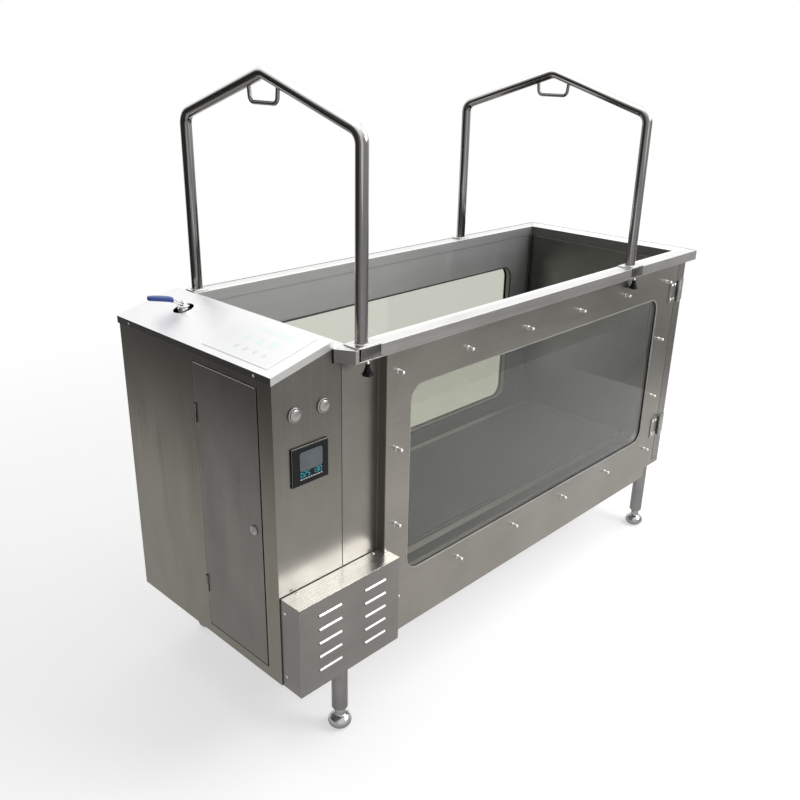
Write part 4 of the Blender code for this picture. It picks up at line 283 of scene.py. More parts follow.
def fill(tree, made, **values):
    """Give a node its inputs and settings by name; Base_Color stands for the input Base Color."""
    for name, value in values.items():
        title = name.replace("_", " ")
        if title in made.inputs:
            feed(tree, value, made.inputs[title])
        else:
            setattr(made, name, value)
    return made


def node(tree, kind, *values, **named):
    """A new shader node; plain values go to its first inputs in order, and named ones by name."""
    made = tree.nodes.new("ShaderNode" + kind)
    for value, socket in zip(values, made.inputs):
        feed(tree, value, socket)
    return fill(tree, made, **named)


def arithmetic(tree, operation, *values, clamp=False):
    """The result of one sum, such as a product or a sine."""
    return node(tree, "Math", *values, operation=operation, use_clamp=clamp).outputs[0]


def span(tree, value, low, high, to_low=0.0, to_high=1.0, smooth=False):
    """A value carried from the range low..high to the range to_low..to_high, and held at its ends."""
    return node(tree, "MapRange", interpolation_type="SMOOTHSTEP" if smooth else "LINEAR", Value=value,
                From_Min=low, From_Max=high, To_Min=to_low, To_Max=to_high).outputs[0]


def noise(tree, vector, scale, detail, **more):
    """The grey value of a noise texture at a place."""
    return node(tree, "TexNoise", Vector=vector, Scale=scale, Detail=detail, **more).outputs["Fac"]


def two_tones(tree, source, dark, light, start=0.30, full=0.70):
    """Colour ramp: dark up to a source value of start, light from full on."""
    made = node(tree, "ValToRGB", Fac=source)
    for element, position, colour in zip(made.color_ramp.elements, (start, full), (dark, light)):
        element.position = position
        element.color = (*colour, 1.0)
    return made.outputs["Color"]


def blended(tree, mask, first, second, way="MIX"):
    """First colour where the mask is 0, second colour where it is 1."""
    made = node(tree, "Mix", mask, data_type="RGBA", blend_type=way)
    feed(tree, first, made.inputs[6])
    feed(tree, second, made.inputs[7])
    return made.outputs[2]


def bump_normal(tree, height, strength, distance, **under):
    """The normal of a bump, laid on another normal where one is given."""
    return node(tree, "Bump", Height=height, Strength=strength, Distance=distance, **under).outputs["Normal"]


def new_group(name, inputs, outputs):
    """An empty shader group with named sockets (name, kind, default); gives its tree, inputs and outputs."""
    tree = bpy.data.node_groups.new(name, "ShaderNodeTree")
    for title, kind, default in inputs:
        socket = tree.interface.new_socket(title, in_out="INPUT", socket_type="NodeSocket" + kind)
        if default is not None:
            socket.default_value = default
    for title, kind in outputs:
        tree.interface.new_socket(title, in_out="OUTPUT", socket_type="NodeSocket" + kind)
    return tree, tree.nodes.new("NodeGroupInput").outputs, tree.nodes.new("NodeGroupOutput").inputs


def use_group(tree, group, **values):
    """Place a shared group in a material with its own values."""
    made = tree.nodes.new("ShaderNodeGroup")
    made.node_tree = group
    return fill(tree, made, **values)


print("node helpers ready")

# %% [markdown]
# ### Brushed grain
# The belt grinder leaves lines thousands of times longer than they are wide. A noise that is stretched
# hard along one axis gives them. Two scales are mixed, because real lines differ in depth.


# %% Brushed grain group
def make_grain_group():
    """Grain = fine stretched noise * 0.6 + coarse stretched noise * 0.4, read at point * stretch."""
    tree, get, put = new_group(
        "brushed_grain",
        [("Vector", "Vector", None), ("Stretch", "Vector", (4.0, 900.0, 900.0)), ("Coarse", "Float", 0.25)],
        [("Grain", "Float"), ("Cloud", "Float")])
    scaled = node(tree, "VectorMath", get["Vector"], get["Stretch"], operation="MULTIPLY").outputs[0]
    slower = node(tree, "VectorMath", scaled, operation="SCALE", Scale=get["Coarse"]).outputs[0]
    mixed = node(tree, "Mix", 0.4, data_type="FLOAT")
    feed(tree, noise(tree, scaled, 1.0, 3.0, Roughness=0.65), mixed.inputs[2])
    feed(tree, noise(tree, slower, 1.0, 2.0, Roughness=0.6), mixed.inputs[3])
    feed(tree, mixed.outputs[0], put["Grain"])
    feed(tree, noise(tree, get["Vector"], 3.2, 4.0, Roughness=0.55, Distortion=0.4), put["Cloud"])
    return tree


GRAIN = make_grain_group()
print("the grain group has", len(GRAIN.nodes), "nodes")

# %% [markdown]
# ### Rounded and rubbed edges
# A folded sheet has a bend radius, and hands and cloths polish it. The Bevel node bends the normal near
# an edge, and the difference between that normal and the flat one marks where the edge is.


# %% Edge group
def make_edge_group():
    """Edge = gain * (1 - dot(rounded normal, flat normal)), held within 0..1."""
    tree, get, put = new_group(
        "edge_rub", [("Radius", "Float", 0.0018), ("Gain", "Float", 6.0)],
        [("Edge", "Float"), ("Normal", "Vector")])
    rounded = node(tree, "Bevel", samples=4, Radius=get["Radius"]).outputs["Normal"]
    flat = node(tree, "NewGeometry").outputs["Normal"]
    dot = node(tree, "VectorMath", rounded, flat, operation="DOT_PRODUCT").outputs["Value"]
    away = arithmetic(tree, "SUBTRACT", 1.0, dot, clamp=True)
    feed(tree, arithmetic(tree, "MULTIPLY", away, get["Gain"], clamp=True), put["Edge"])
    feed(tree, rounded, put["Normal"])
    return tree


EDGE = make_edge_group()
print("the edge group has", len(EDGE.nodes), "nodes")

# %% [markdown]
# ### Wiping marks
# Stainless near controls and handles carries faint wiping marks. They change the roughness more than the
# colour, so this group gives one soft mask with long smears.


# %% Smear group
def make_smear_group():
    """Smear = amount * warped noise on a turned and stretched grid, kept where it is above a threshold."""
    tree, get, put = new_group(
        "wiping_marks", [("Vector", "Vector", None), ("Scale", "Float", 5.0), ("Amount", "Float", 0.5)],
        [("Smear", "Float")])
    stretched = node(tree, "Mapping", Vector=get["Vector"], Rotation=(0.3, 0.5, 0.2), Scale=(1.0, 1.0, 0.35))
    warped = noise(tree, stretched.outputs[0], get["Scale"], 5.0, Roughness=0.62, Distortion=1.1)
    feed(tree, arithmetic(tree, "MULTIPLY", span(tree, warped, 0.46, 0.68), get["Amount"]), put["Smear"])
    return tree


SMEAR = make_smear_group()
print("the smear group has", len(SMEAR.nodes), "nodes")

# %% [markdown]
# ## Satin sheet steel
# This is the finish of the tank, the cabinet and the doors. The colour is a warm grey that drifts a
# little with the rolling of the sheet. The grain is laid along one axis of each part, and it drives both
# the roughness and a very shallow bump. A sheet may also get painted light and shade: a pale tone where
# it faces up, darker tones where it faces left or to the near side, painted light inside the tank that
# darkens towards the right end, and painted shade high up on the cabinet.

# %% Satin steel
GRAIN_SHARE, CLOUD_SHARE = 0.45, 0.55
SHEET_BEND = 0.0016
SHEET_RELIEF = 0.0006
WORN_GAIN, WORN_LIMIT = 1.18, 0.95
SMEAR_DULLS = 0.22
INSIDE_DULLS = 0.22
# Painted light inside the trough runs from its left colour to its right colour between these x.
INSIDE_LIGHT_LEFT, INSIDE_LIGHT_RIGHT = 0.2, 0.9
SIDEWAYS = (-0.70, -0.92)


def start_material(name):
    """A new node material; gives the material, its tree and its shader."""
    material = bpy.data.materials.new(name)
    material.use_nodes = True
    tree = material.node_tree
    return material, tree, tree.nodes["Principled BSDF"]


def facing_mask(tree, place, axis, start, full):
    """0..1 as the flat normal's part along one axis goes from start to full."""
    return span(tree, node(tree, "SeparateXYZ", place["Normal"]).outputs[axis], start, full)


def satin_steel(name, dark, light, stretch, rough=(0.26, 0.40), bump=0.05, smear=0.25,
                top=None, shaded=None, front=None, inside=None, upper_shade=None):
    """Colour = two greys by cloud and grain, then the tints of each facing; roughness = grain + smear.

    Top = (colour of painted light on faces that turn up, added roughness, facing start, facing full),
    shaded = colour of painted shade towards the left, front = colour of painted shade towards the near
    side, inside = (left colour, right colour, middle y, reach) of painted light inside the trough, and
    upper_shade = (z where it starts, z where it is full, factor) of painted shade high up.
    """
    material, tree, shader = start_material(name)
    place = node(tree, "TexCoord").outputs
    grain = use_group(tree, GRAIN, Vector=place["Object"], Stretch=stretch).outputs
    smears = use_group(tree, SMEAR, Vector=place["Object"], Amount=smear).outputs
    rub = use_group(tree, EDGE, Radius=SHEET_BEND).outputs
    way = node(tree, "SeparateXYZ", place["Object"]).outputs
    cloud = arithmetic(tree, "MULTIPLY", grain["Cloud"], CLOUD_SHARE)
    drift = arithmetic(tree, "MULTIPLY_ADD", grain["Grain"], GRAIN_SHARE, cloud)
    worn = [min(c * WORN_GAIN, WORN_LIMIT) for c in light]
    colour = blended(tree, rub["Edge"], two_tones(tree, drift, dark, light), worn)
    level = span(tree, grain["Grain"], 0.25, 0.75, *rough)
    roughness = arithmetic(tree, "MULTIPLY_ADD", smears["Smear"], SMEAR_DULLS, level)
    # Painted light inside the trough: paler walls, darker towards the right end, where the inside lies in
    # shade.
    if inside:
        left, right, middle, reach = inside
        within = arithmetic(tree, "COMPARE", way["Y"], middle, reach)
        inside_painted_light = blended(tree, span(tree, way["X"], INSIDE_LIGHT_LEFT, INSIDE_LIGHT_RIGHT), left, right)
        colour = blended(tree, within, colour, inside_painted_light)
        roughness = arithmetic(tree, "MULTIPLY_ADD", within, INSIDE_DULLS, roughness, clamp=True)
    # Painted shade on faces that turn to the near side.
    if front:
        colour = blended(tree, facing_mask(tree, place, "Y", *SIDEWAYS), colour, front)
    # Painted shade on faces that turn to the left.
    if shaded:
        colour = blended(tree, facing_mask(tree, place, "X", *SIDEWAYS), colour, shaded)
    # Painted shade: the colour darkens towards the top.
    if upper_shade:
        start, full, factor = upper_shade
        depth = span(tree, way["Z"], start, full, smooth=True)
        colour = blended(tree, depth, colour, [factor] * 3, way="MULTIPLY")
    # Painted light: a paler tone on faces that turn up.
    if top:
        tone, added, start, full = top
        upward = facing_mask(tree, place, "Z", start, full)
        colour = blended(tree, upward, colour, tone)
        roughness = arithmetic(tree, "MULTIPLY_ADD", upward, added, roughness, clamp=True)
    fill(tree, shader, Base_Color=colour, Roughness=roughness, Metallic=1.0,
         Normal=bump_normal(tree, grain["Grain"], bump, SHEET_RELIEF, Normal=rub["Normal"]))
    return material


WARM_DARK = (0.204, 0.193, 0.170)
WARM_LIGHT = (0.299, 0.283, 0.254)
# Painted light: the pale tone of faces that turn up.
PAINTED_TOP_LIGHT = (0.86, 0.855, 0.845)
ALONG_X = (5.0, 700.0, 700.0)
ALONG_Y = (700.0, 5.0, 700.0)
ALONG_Z = (700.0, 700.0, 5.0)
TROUGH_MIDDLE = 0.0143
# Painted shade on the tank's left faces, and painted light inside the trough that is darker towards the right
# end.
TANK_STEEL = satin_steel(
    "tank_steel", (0.178, 0.168, 0.149), (0.262, 0.248, 0.223), ALONG_X, shaded=(0.20, 0.19, 0.17),
    inside=((0.47, 0.472, 0.472), (0.37, 0.373, 0.373), TROUGH_MIDDLE, 0.3600))
PANEL_STEEL = satin_steel("panel_steel", WARM_DARK, WARM_LIGHT, ALONG_X, smear=0.15)
# Painted shade on the cabinet's left faces, and painted shade that darkens it towards the top.
CABINET_STEEL = satin_steel(
    "cabinet_steel", (0.175, 0.166, 0.148), (0.262, 0.249, 0.223), ALONG_Z, smear=0.45,
    shaded=(0.200, 0.190, 0.155), upper_shade=(0.72, 1.20, 0.70))
# The cabinet door faces left, and its darker tone is painted shade.
CABINET_DOOR_SHADED_STEEL = satin_steel(
    "cabinet_door_shaded_steel", (0.138, 0.128, 0.117), (0.204, 0.190, 0.175), ALONG_Z, smear=0.5)
DOOR_STEEL = satin_steel("door_steel", (0.18, 0.171, 0.156), (0.26, 0.248, 0.232), ALONG_Z)
# The liner faces into the tank from its right end, and its darker tone is painted shade.
LINER_SHADED_STEEL = satin_steel(
    "liner_shaded_steel", (0.124, 0.121, 0.113), (0.186, 0.181, 0.170), (200.0, 4.0, 200.0), smear=0.2, bump=0.006)
# The lid is the same steel with painted light: a near white tone on its top, with painted shade on its left
# and near faces.
LID_LIT_STEEL = satin_steel(
    "lid_lit_steel", (0.84, 0.84, 0.84), (0.92, 0.92, 0.92), ALONG_Y, rough=(0.34, 0.44), smear=0.3,
    shaded=(0.10, 0.095, 0.09), front=(0.55, 0.545, 0.53))
# The rim gets painted light on faces that turn up and inside the trough, and painted shade on its left faces.
RIM_STEEL = satin_steel(
    "rim_steel", (0.32, 0.313, 0.298), (0.45, 0.44, 0.425), ALONG_X, shaded=(0.17, 0.165, 0.155),
    top=(PAINTED_TOP_LIGHT, 0.04, 0.80, 0.95), inside=((0.46, 0.462, 0.462), (0.36, 0.363, 0.363), TROUGH_MIDDLE, 0.3750))
# Painted light: the vent's top and its louvre hoods, which turn up, get a near white tone.
VENT_STEEL = satin_steel(
    "vent_steel", (0.172, 0.164, 0.152), (0.255, 0.244, 0.230), ALONG_X, smear=0.3, bump=0.02,
    top=((0.95, 0.945, 0.935), -0.05, 0.44, 0.64))
FRAME_STEEL = satin_steel("deck_steel", WARM_DARK, WARM_LIGHT, ALONG_X, rough=(0.32, 0.46))
print(len(bpy.data.materials), "materials so far")

# %% [markdown]
# ## Polished and turned steel
# The arches, feet and buttons are polished. Their fine lines follow the tool, either round the part or
# along it, so the pattern is read from the surface's own UV map, where the first number runs along the
# part and the second runs round it. Painted light lies on top: a painted reflection of the sky on faces
# that turn up, painted shade where a face turns away, and painted highlight streaks along the arch tubes.

# %% Polished steel
ARCH_RADIUS = 0.018
FINE_LINES, SLOW_LINES = 1500.0, 40.0
DULL_TONE = 0.86
# Painted highlight streaks: the tone times the gain, held under the limit.
HIGHLIGHT_STREAK_GAIN, HIGHLIGHT_STREAK_LIMIT = 3.0, 0.9


def polished_steel(name, colour, rough, around=True, fine=1.0, painted_sky=None, rim=0.45, highlight_streak=None):
    """Colour = slow noise, times rim where the face turns away, streaks along the tube, then sky on top.

    Rim = factor of painted shade where the face turns away. highlight_streak = (amount, tube radius r) of
    painted highlight streaks: noise at (cos a, sin a, 0.7 u) with a = v / r, so that the pattern meets
    itself after one turn; u runs along the tube and v round it, both in metres. painted_sky = colour of a
    painted reflection of the sky on faces that turn up.
    """
    material, tree, shader = start_material(name)
    place = node(tree, "TexCoord").outputs
    across, along = FINE_LINES * fine, SLOW_LINES * fine
    stretch = (across, along, 1.0) if around else (along, across, 1.0)
    grain = use_group(tree, GRAIN, Vector=place["UV"], Stretch=stretch).outputs["Grain"]
    cloud = noise(tree, place["Object"], 14.0, 3.0)
    shown = two_tones(tree, cloud, [c * DULL_TONE for c in colour], colour)
    # Painted shade where the face turns away from the eye.
    turned_away = node(tree, "LayerWeight", Blend=0.5).outputs["Facing"]
    edge = span(tree, turned_away, 0.30, 0.85, smooth=True)
    shown = blended(tree, edge, shown, [c * rim for c in colour])
    # Painted highlight: lighter streaks along the tube.
    if highlight_streak:
        amount, radius = highlight_streak
        run = node(tree, "SeparateXYZ", place["UV"]).outputs
        angle = arithmetic(tree, "MULTIPLY", run["Y"], 1 / radius)
        ring = node(tree, "CombineXYZ", arithmetic(tree, "COSINE", angle), arithmetic(tree, "SINE", angle),
                    arithmetic(tree, "MULTIPLY", run["X"], 0.7)).outputs[0]
        bright = span(tree, noise(tree, ring, 2.2, 4.0), 0.52, 0.66, 0.0, amount, smooth=True)
        shown = blended(tree, bright, shown, [min(c * HIGHLIGHT_STREAK_GAIN, HIGHLIGHT_STREAK_LIMIT) for c in colour])
    # Painted reflection of the sky on faces that turn up.
    if painted_sky:
        shown = blended(tree, facing_mask(tree, place, "Z", 0.25, 0.60), shown, painted_sky)
    fill(tree, shader, Base_Color=shown, Roughness=span(tree, grain, 0.2, 0.8, rough * 0.85, rough * 1.25),
         Metallic=1.0, Normal=bump_normal(tree, grain, 0.012, 0.0004))
    return material


# The sky colours below are painted sky reflections, the rim factors are painted shade, and the arch's streaks
# are painted highlights.
ARCH_STEEL = polished_steel("arch_polish", (0.19, 0.183, 0.176), 0.12, around=False, fine=0.4,
                            painted_sky=(0.88, 0.875, 0.865), rim=0.55, highlight_streak=(0.7, ARCH_RADIUS))
CHROME = polished_steel("foot_chrome", (0.30, 0.298, 0.29), 0.15, painted_sky=(0.5, 0.5, 0.5), rim=0.35)
PLATE_STEEL = polished_steel("foot_plate", (0.42, 0.412, 0.40), 0.24, painted_sky=(0.88, 0.875, 0.865), rim=0.6)
# The tongue's dark tone is painted shade: a darker copy of the polished steel.
TONGUE_SHADED_STEEL = polished_steel("tongue_shaded_steel", (0.15, 0.148, 0.142), 0.16, painted_sky=(0.7, 0.7, 0.69), rim=0.8)
BUTTON_STEEL = polished_steel("button_steel", (0.36, 0.35, 0.335), 0.28, rim=0.85)
LEG_STEEL = polished_steel("leg_steel", (0.235, 0.228, 0.22), 0.26, rim=0.4)
BOLT_STEEL = polished_steel("bolt_steel", (0.80, 0.79, 0.77), 0.34, painted_sky=(1.0, 1.0, 1.0), rim=0.9)
LEVER_STEEL = polished_steel("lever_steel", (0.86, 0.86, 0.85), 0.22, rim=0.9)
print(len(bpy.data.materials), "materials so far")

# %% [markdown]
# ## Cast and blasted steel
# Hinges and latches are castings. They are blasted, so their surface is an even, very fine roughness with
# no direction. Weld beads, rollers, pulleys and the steel pipe share it.


# %% Cast steel
def cast_steel(name, dark, light, rough=0.36):
    """Colour = two greys by a patchy noise; roughness and bump follow a speckle on the rounded normal."""
    material, tree, shader = start_material(name)
    place = node(tree, "TexCoord").outputs["Object"]
    speckle = noise(tree, place, 900.0, 2.0)
    rub = use_group(tree, EDGE, Radius=0.0010).outputs
    fill(tree, shader, Base_Color=two_tones(tree, noise(tree, place, 25.0, 3.0), dark, light),
         Roughness=span(tree, speckle, 0.0, 1.0, rough * 0.8, rough * 1.25), Metallic=1.0,
         Normal=bump_normal(tree, speckle, 0.12, 0.0003, Normal=rub["Normal"]))
    return material


HINGE_STEEL = cast_steel("hinge_steel", (0.30, 0.295, 0.28), (0.42, 0.41, 0.395))
PULLEY_STEEL = cast_steel("pulley_steel", (0.36, 0.355, 0.35), (0.50, 0.495, 0.485))
WELD_STEEL = cast_steel("weld_bead", (0.40, 0.385, 0.36), (0.58, 0.56, 0.53), 0.30)
print(len(bpy.data.materials), "materials so far")

# %% [markdown]
# ## Plastic, rubber, paint and board
# These are not metals, so the colour does the work. Moulded plastic has a fine spark texture, rubber is
# dull and slightly dusty, and paint has an orange peel that only shows in its gloss.


# %% Plain solids with a fine texture
def moulded(name, dark, light, rough, texture=900.0, bump=0.10, gloss=0.5, slow=18.0):
    """Colour = two tones by a slow noise; roughness and bump follow a fine noise."""
    material, tree, shader = start_material(name)
    place = node(tree, "TexCoord").outputs["Object"]
    drift = noise(tree, place, slow, 4.0, Roughness=0.6)
    fine = noise(tree, place, texture, 2.0)
    rub = use_group(tree, EDGE, Radius=0.0008).outputs
    level = span(tree, fine, 0.0, 1.0, max(rough - 0.08, 0.02), rough + 0.08)
    fill(tree, shader, Base_Color=two_tones(tree, drift, dark, light, start=0.32), Roughness=level,
         Specular_IOR_Level=gloss, Normal=bump_normal(tree, fine, bump, 0.0003, Normal=rub["Normal"]))
    return material


KNOB_BLACK = moulded("knob_black", (0.004, 0.004, 0.0045), (0.009, 0.009, 0.010), 0.26, gloss=0.12)
BEZEL_BLACK = moulded(
    "bezel_black", (0.006, 0.006, 0.007), (0.012, 0.012, 0.014), 0.30, bump=0.03, gloss=0.15)
# Dark bars: along the rim's outer hem they paint its shade line, and at the neck they are a dark joint.
SEAM_AND_HEM_SHADE = moulded("seam_and_hem_shade", (0.085, 0.085, 0.082), (0.13, 0.13, 0.126), 0.55, texture=300.0, gloss=0.2)
SEALANT = moulded("window_sealant", (0.34, 0.34, 0.325), (0.46, 0.46, 0.445), 0.45, texture=300.0, slow=9.0)
SEAL_RUBBER = moulded("seal_rubber", (0.018, 0.018, 0.018), (0.045, 0.044, 0.042), 0.72, texture=500.0)
DRIVE_RUBBER = moulded("drive_rubber", (0.015, 0.015, 0.015), (0.035, 0.034, 0.033), 0.65)
MOTOR_PAINT = moulded("motor_paint", (0.13, 0.15, 0.17), (0.20, 0.225, 0.25), 0.38, texture=260.0, bump=0.15)
PIPE_PLASTIC = moulded("pipe_plastic", (0.55, 0.56, 0.55), (0.68, 0.69, 0.68), 0.36)
BOARD = moulded("deck_board", (0.05, 0.04, 0.03), (0.11, 0.09, 0.07), 0.55, texture=300.0, slow=6.0)
LEVER_BLUE = moulded("lever_vinyl", (0.040, 0.075, 0.30), (0.060, 0.11, 0.42), 0.34, texture=420.0, bump=0.06)
print(len(bpy.data.materials), "materials so far")

# %% [markdown]
# ## Walking belt
# A treadmill belt for wet use has a pressed pattern for grip. Two sets of diagonal lines, worked out from
# the position on the belt, give small diamonds in the height, and the tops of them are worn smoother.


# %% Belt material
def belt_material(turns=330.0):
    """Height = lower of |sin(a (x + y))| and |sin(a (x - y))| with a = turns; grooves cross in diamonds."""
    material, tree, shader = start_material("belt_rubber")
    place = node(tree, "TexCoord").outputs["Object"]
    way = node(tree, "SeparateXYZ", place).outputs
    waves = []
    for operation in ("ADD", "SUBTRACT"):
        angle = arithmetic(tree, "MULTIPLY", arithmetic(tree, operation, way["X"], way["Y"]), turns)
        waves.append(arithmetic(tree, "ABSOLUTE", arithmetic(tree, "SINE", angle)))
    lower = arithmetic(tree, "MINIMUM", *waves)
    wear = noise(tree, place, 4.0, 5.0)
    fill(tree, shader, Base_Color=two_tones(tree, wear, (0.022, 0.024, 0.024), (0.055, 0.058, 0.056)),
         Roughness=span(tree, lower, 0.0, 1.0, 0.72, 0.50), Normal=bump_normal(tree, lower, 0.5, 0.0008))
    return material


BELT_RUBBER = belt_material()
print("the belt has", len(BELT_RUBBER.node_tree.nodes), "nodes")

# %% [markdown]
# ## Window glass
# The panes are thick toughened glass with a green cast, wiped by hand. Glass wants few nodes: the colour
# carries the cast, and a faint noise in the roughness carries the film that dried water leaves.


# %% Glass
def glass_material():
    """Plain transmission with a green cast; roughness = a trace of dried film."""
    material, tree, shader = start_material("window_glass")
    film = noise(tree, node(tree, "TexCoord").outputs["Object"], 6.0, 6.0, Roughness=0.7)
    fill(tree, shader, Base_Color=two_tones(tree, film, (0.610, 0.622, 0.550), (0.630, 0.642, 0.570)),
         Roughness=span(tree, film, 0.45, 0.80, 0.0, 0.02), Transmission_Weight=1.0, IOR=1.45)
    return material


WINDOW_GLASS = glass_material()
print("the glass has", len(WINDOW_GLASS.node_tree.nodes), "nodes")

# %% [markdown]
# ## Control film and display
# The film on the lid is a pale printed sheet with blank key fields in soft green and pink. The fields are
# boxes worked out from the position on the film, with a soft edge. The display has a clear window with a
# grey crystal under it.

# %% Film and screen
FILM_WHITE = (0.91, 0.915, 0.915)
PINK, GREEN = (0.84, 0.74, 0.76), (0.71, 0.80, 0.795)
# Each field is (middle x, middle y, half width, half depth, colour), as shares of the film's own size.
KEY_FIELDS = [
    (0.52, 0.30, 0.10, 0.045, (0.82, 0.91, 0.895)),
    (0.52, 0.48, 0.10, 0.045, (0.82, 0.91, 0.895)),
    (0.52, 0.66, 0.10, 0.045, (0.83, 0.91, 0.90)),
    (0.24, 0.22, 0.05, 0.022, PINK),
    (0.24, 0.36, 0.05, 0.022, GREEN),
    (0.24, 0.50, 0.05, 0.022, PINK),
    (0.24, 0.64, 0.05, 0.022, GREEN),
    (0.80, 0.45, 0.06, 0.28, (0.85, 0.915, 0.91)),
]


def film_material(low, high, soft_edge=0.82):
    """White film; field colour where the position lies inside one of a few blank key boxes."""
    material, tree, shader = start_material("control_film")
    place = node(tree, "TexCoord").outputs
    on_film = node(tree, "Mapping", vector_type="TEXTURE", Vector=place["Object"],
                   Location=(low[0], low[1], 0.0), Scale=(high[0] - low[0], high[1] - low[1], 1.0))
    way = node(tree, "SeparateXYZ", on_film.outputs[0]).outputs
    colour = FILM_WHITE
    for x, y, half_x, half_y, tone in KEY_FIELDS:
        inside = []
        for axis, centre, half in (("X", x, half_x), ("Y", y, half_y)):
            apart = arithmetic(tree, "ABSOLUTE", arithmetic(tree, "SUBTRACT", way[axis], centre))
            inside.append(span(tree, apart, half, half * soft_edge))
        colour = blended(tree, arithmetic(tree, "MINIMUM", *inside), colour, tone)
    sheen = arithmetic(tree, "MULTIPLY", facing_mask(tree, place, "Z", 0.5, 0.9), 0.75)
    fill(tree, shader, Base_Color=colour, Roughness=0.42, Metallic=sheen,
         Normal=bump_normal(tree, noise(tree, place["Object"], 1400.0, 1.0), 0.08, 0.0002))
    return material


film_low, film_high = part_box("control_membrane")
CONTROL_FILM = film_material(film_low, film_high)
SCREEN_GLASS = moulded(
    "screen_glass", (0.006, 0.008, 0.010), (0.010, 0.014, 0.018), 0.14, texture=700.0, bump=0.01, gloss=0.12)
CRYSTAL = moulded(
    "screen_crystal", (0.10, 0.12, 0.13), (0.14, 0.165, 0.175), 0.24, texture=1200.0, bump=0.02, gloss=0.3)
print(len(KEY_FIELDS), "blank fields on the film")

# %% [markdown]
# ## Which part has which finish
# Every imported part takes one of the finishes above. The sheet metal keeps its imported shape, and the round
# parts are replaced by smoother pieces further down.

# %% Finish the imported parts
WORN_BY = [
    (TANK_STEEL, "tank_shell"),
    (RIM_STEEL, "rim_channel"),
    (PANEL_STEEL, "window_panel_near window_panel_far"),
    (WINDOW_GLASS, "window_pane_near window_pane_far"),
    (SEALANT, "window_seal_near window_seal_far"),
    (SEAL_RUBBER, "entry_door_seal shaft_seal"),
    (DOOR_STEEL, "entry_door"),
    (LINER_SHADED_STEEL, "entry_door_liner"),
    (CABINET_STEEL, "cabinet_shell"),
    (CABINET_DOOR_SHADED_STEEL, "cabinet_door"),
    (LID_LIT_STEEL, "console_lid"),
    (CONTROL_FILM, "control_membrane"),
    (VENT_STEEL, "vent_cover"),
    (FRAME_STEEL, "deck_frame"),
    (BOARD, "deck_board"),
    (BELT_RUBBER, "walking_belt"),
    (DRIVE_RUBBER, "drive_belt"),
    (PULLEY_STEEL, "drive_roller tail_roller roller_pulley motor_pulley inlet_pipe water_heater"),
    (MOTOR_PAINT, "gear_motor circulation_pump control_box"),
    (PIPE_PLASTIC, "return_pipe"),
    (BEZEL_BLACK, "display_module"),
    (SCREEN_GLASS, "display_screen"),
    (HINGE_STEEL, "hinge_lower_fixed hinge_upper_fixed hinge_lower_moving hinge_upper_moving"),
    (HINGE_STEEL, "keeper_lower keeper_upper door_latch_lower door_latch_upper valve_body"),
    (ARCH_STEEL, "left_arch right_arch"),
    (KNOB_BLACK, "left_clamp_knob right_clamp_knob"),
    (LEVER_BLUE, "valve_lever"),
    (BUTTON_STEEL, "cabinet_lock start_button stop_button start_bezel stop_bezel"),
    (LEG_STEEL, "leg_near_left leg_near_right leg_far_left leg_far_right"),
    (CHROME, "foot_near_left foot_near_right foot_far_left foot_far_right"),
]
for finish, wearers in WORN_BY:
    for node_name in wearers.split():
        slots = frame["nodes"][node_name].data.materials
        slots.clear()
        slots.append(finish)
print(sum(len(wearers.split()) for _, wearers in WORN_BY), "packed parts have a finish")

# %% [markdown]
# ## The arches
# Each arch is one tube, bent at two shoulders and at the peak, with a small rod loop under the peak. The
# right arch stands a little askew: its two feet are not opposite each other. A path with round corners is
# worked out in the arch's own upright plane, and a circle is carried along it.

# %% Arch sizes
RIM_TOP = 0.993
PLATE_LOW = RIM_TOP + 0.0003
PLATE = 0.004
BENDS = [0.045, 0.050, 0.045]
SHOULDER, PEAK = 1.545, 1.6746
NEAR_Y, FAR_Y = -0.026, 0.757
ARCH_FEET = {"left_arch": (0.290, 0.290), "right_arch": (1.705, 1.630)}
# The loop's half widths at the tube and at its bottom, its drop from the peak, its bends and its rod.
LOOP_TOP, LOOP_BOTTOM, LOOP_DROP, LOOP_BEND, LOOP_ROD = 0.066, 0.060, 0.080, 0.018, 0.0060
# Each plate is (half length, half width, corner radius); the near one and the tongue lie beside the tube.
NEAR_PLATE, NEAR_PLATE_OFF, NEAR_PLATE_Y = (0.045, 0.03025, 0.004), 0.005, -0.02625
FAR_PLATE, PLATE_EDGE = (0.030, 0.0235, 0.003), 0.0008
TONGUE, TONGUE_OFF, TONGUE_Y = (0.03735, 0.00615, 0.0015), 0.00735, -0.05135
TONGUE_LOW, TONGUE_DEPTH, TONGUE_EDGE = 0.9586, 0.0360, 0.0006
PIN_PROFILE = [(0.0, 0.975), (0.0075, 0.975), (0.009, 0.9765), (0.009, 0.995)]
BEAD = 0.0024
print("the arches are", round(PEAK - RIM_TOP, 4), "m high over the rim")

# %% [markdown]
# ### Building an arch
# The tube, the loop, the foot plates, the tongue of the clamp and the weld beads are separate objects with
# their own finishes, and all of them ride on the arch. A weld bead is a ring with ripples, as the welder's
# steps leave them.


# %% Arch pieces
def weld_bead(centre, ring, size, ripples=34, sides=10):
    """Ring of weld: torus whose section swells by 12% with each ripple round the ring."""
    t, s = circle(ripples * 4), circle(sides)
    swell = size * (1 + 0.12 * np.cos(ripples * t))[:, None]
    a, b = across_axes(UP)
    radial = np.cos(t)[:, None] * a + np.sin(t)[:, None] * b
    out, up = ring + swell * np.cos(s), swell * np.sin(s)
    return centre + out[..., None] * radial[:, None] + up[..., None] * UP, *RING


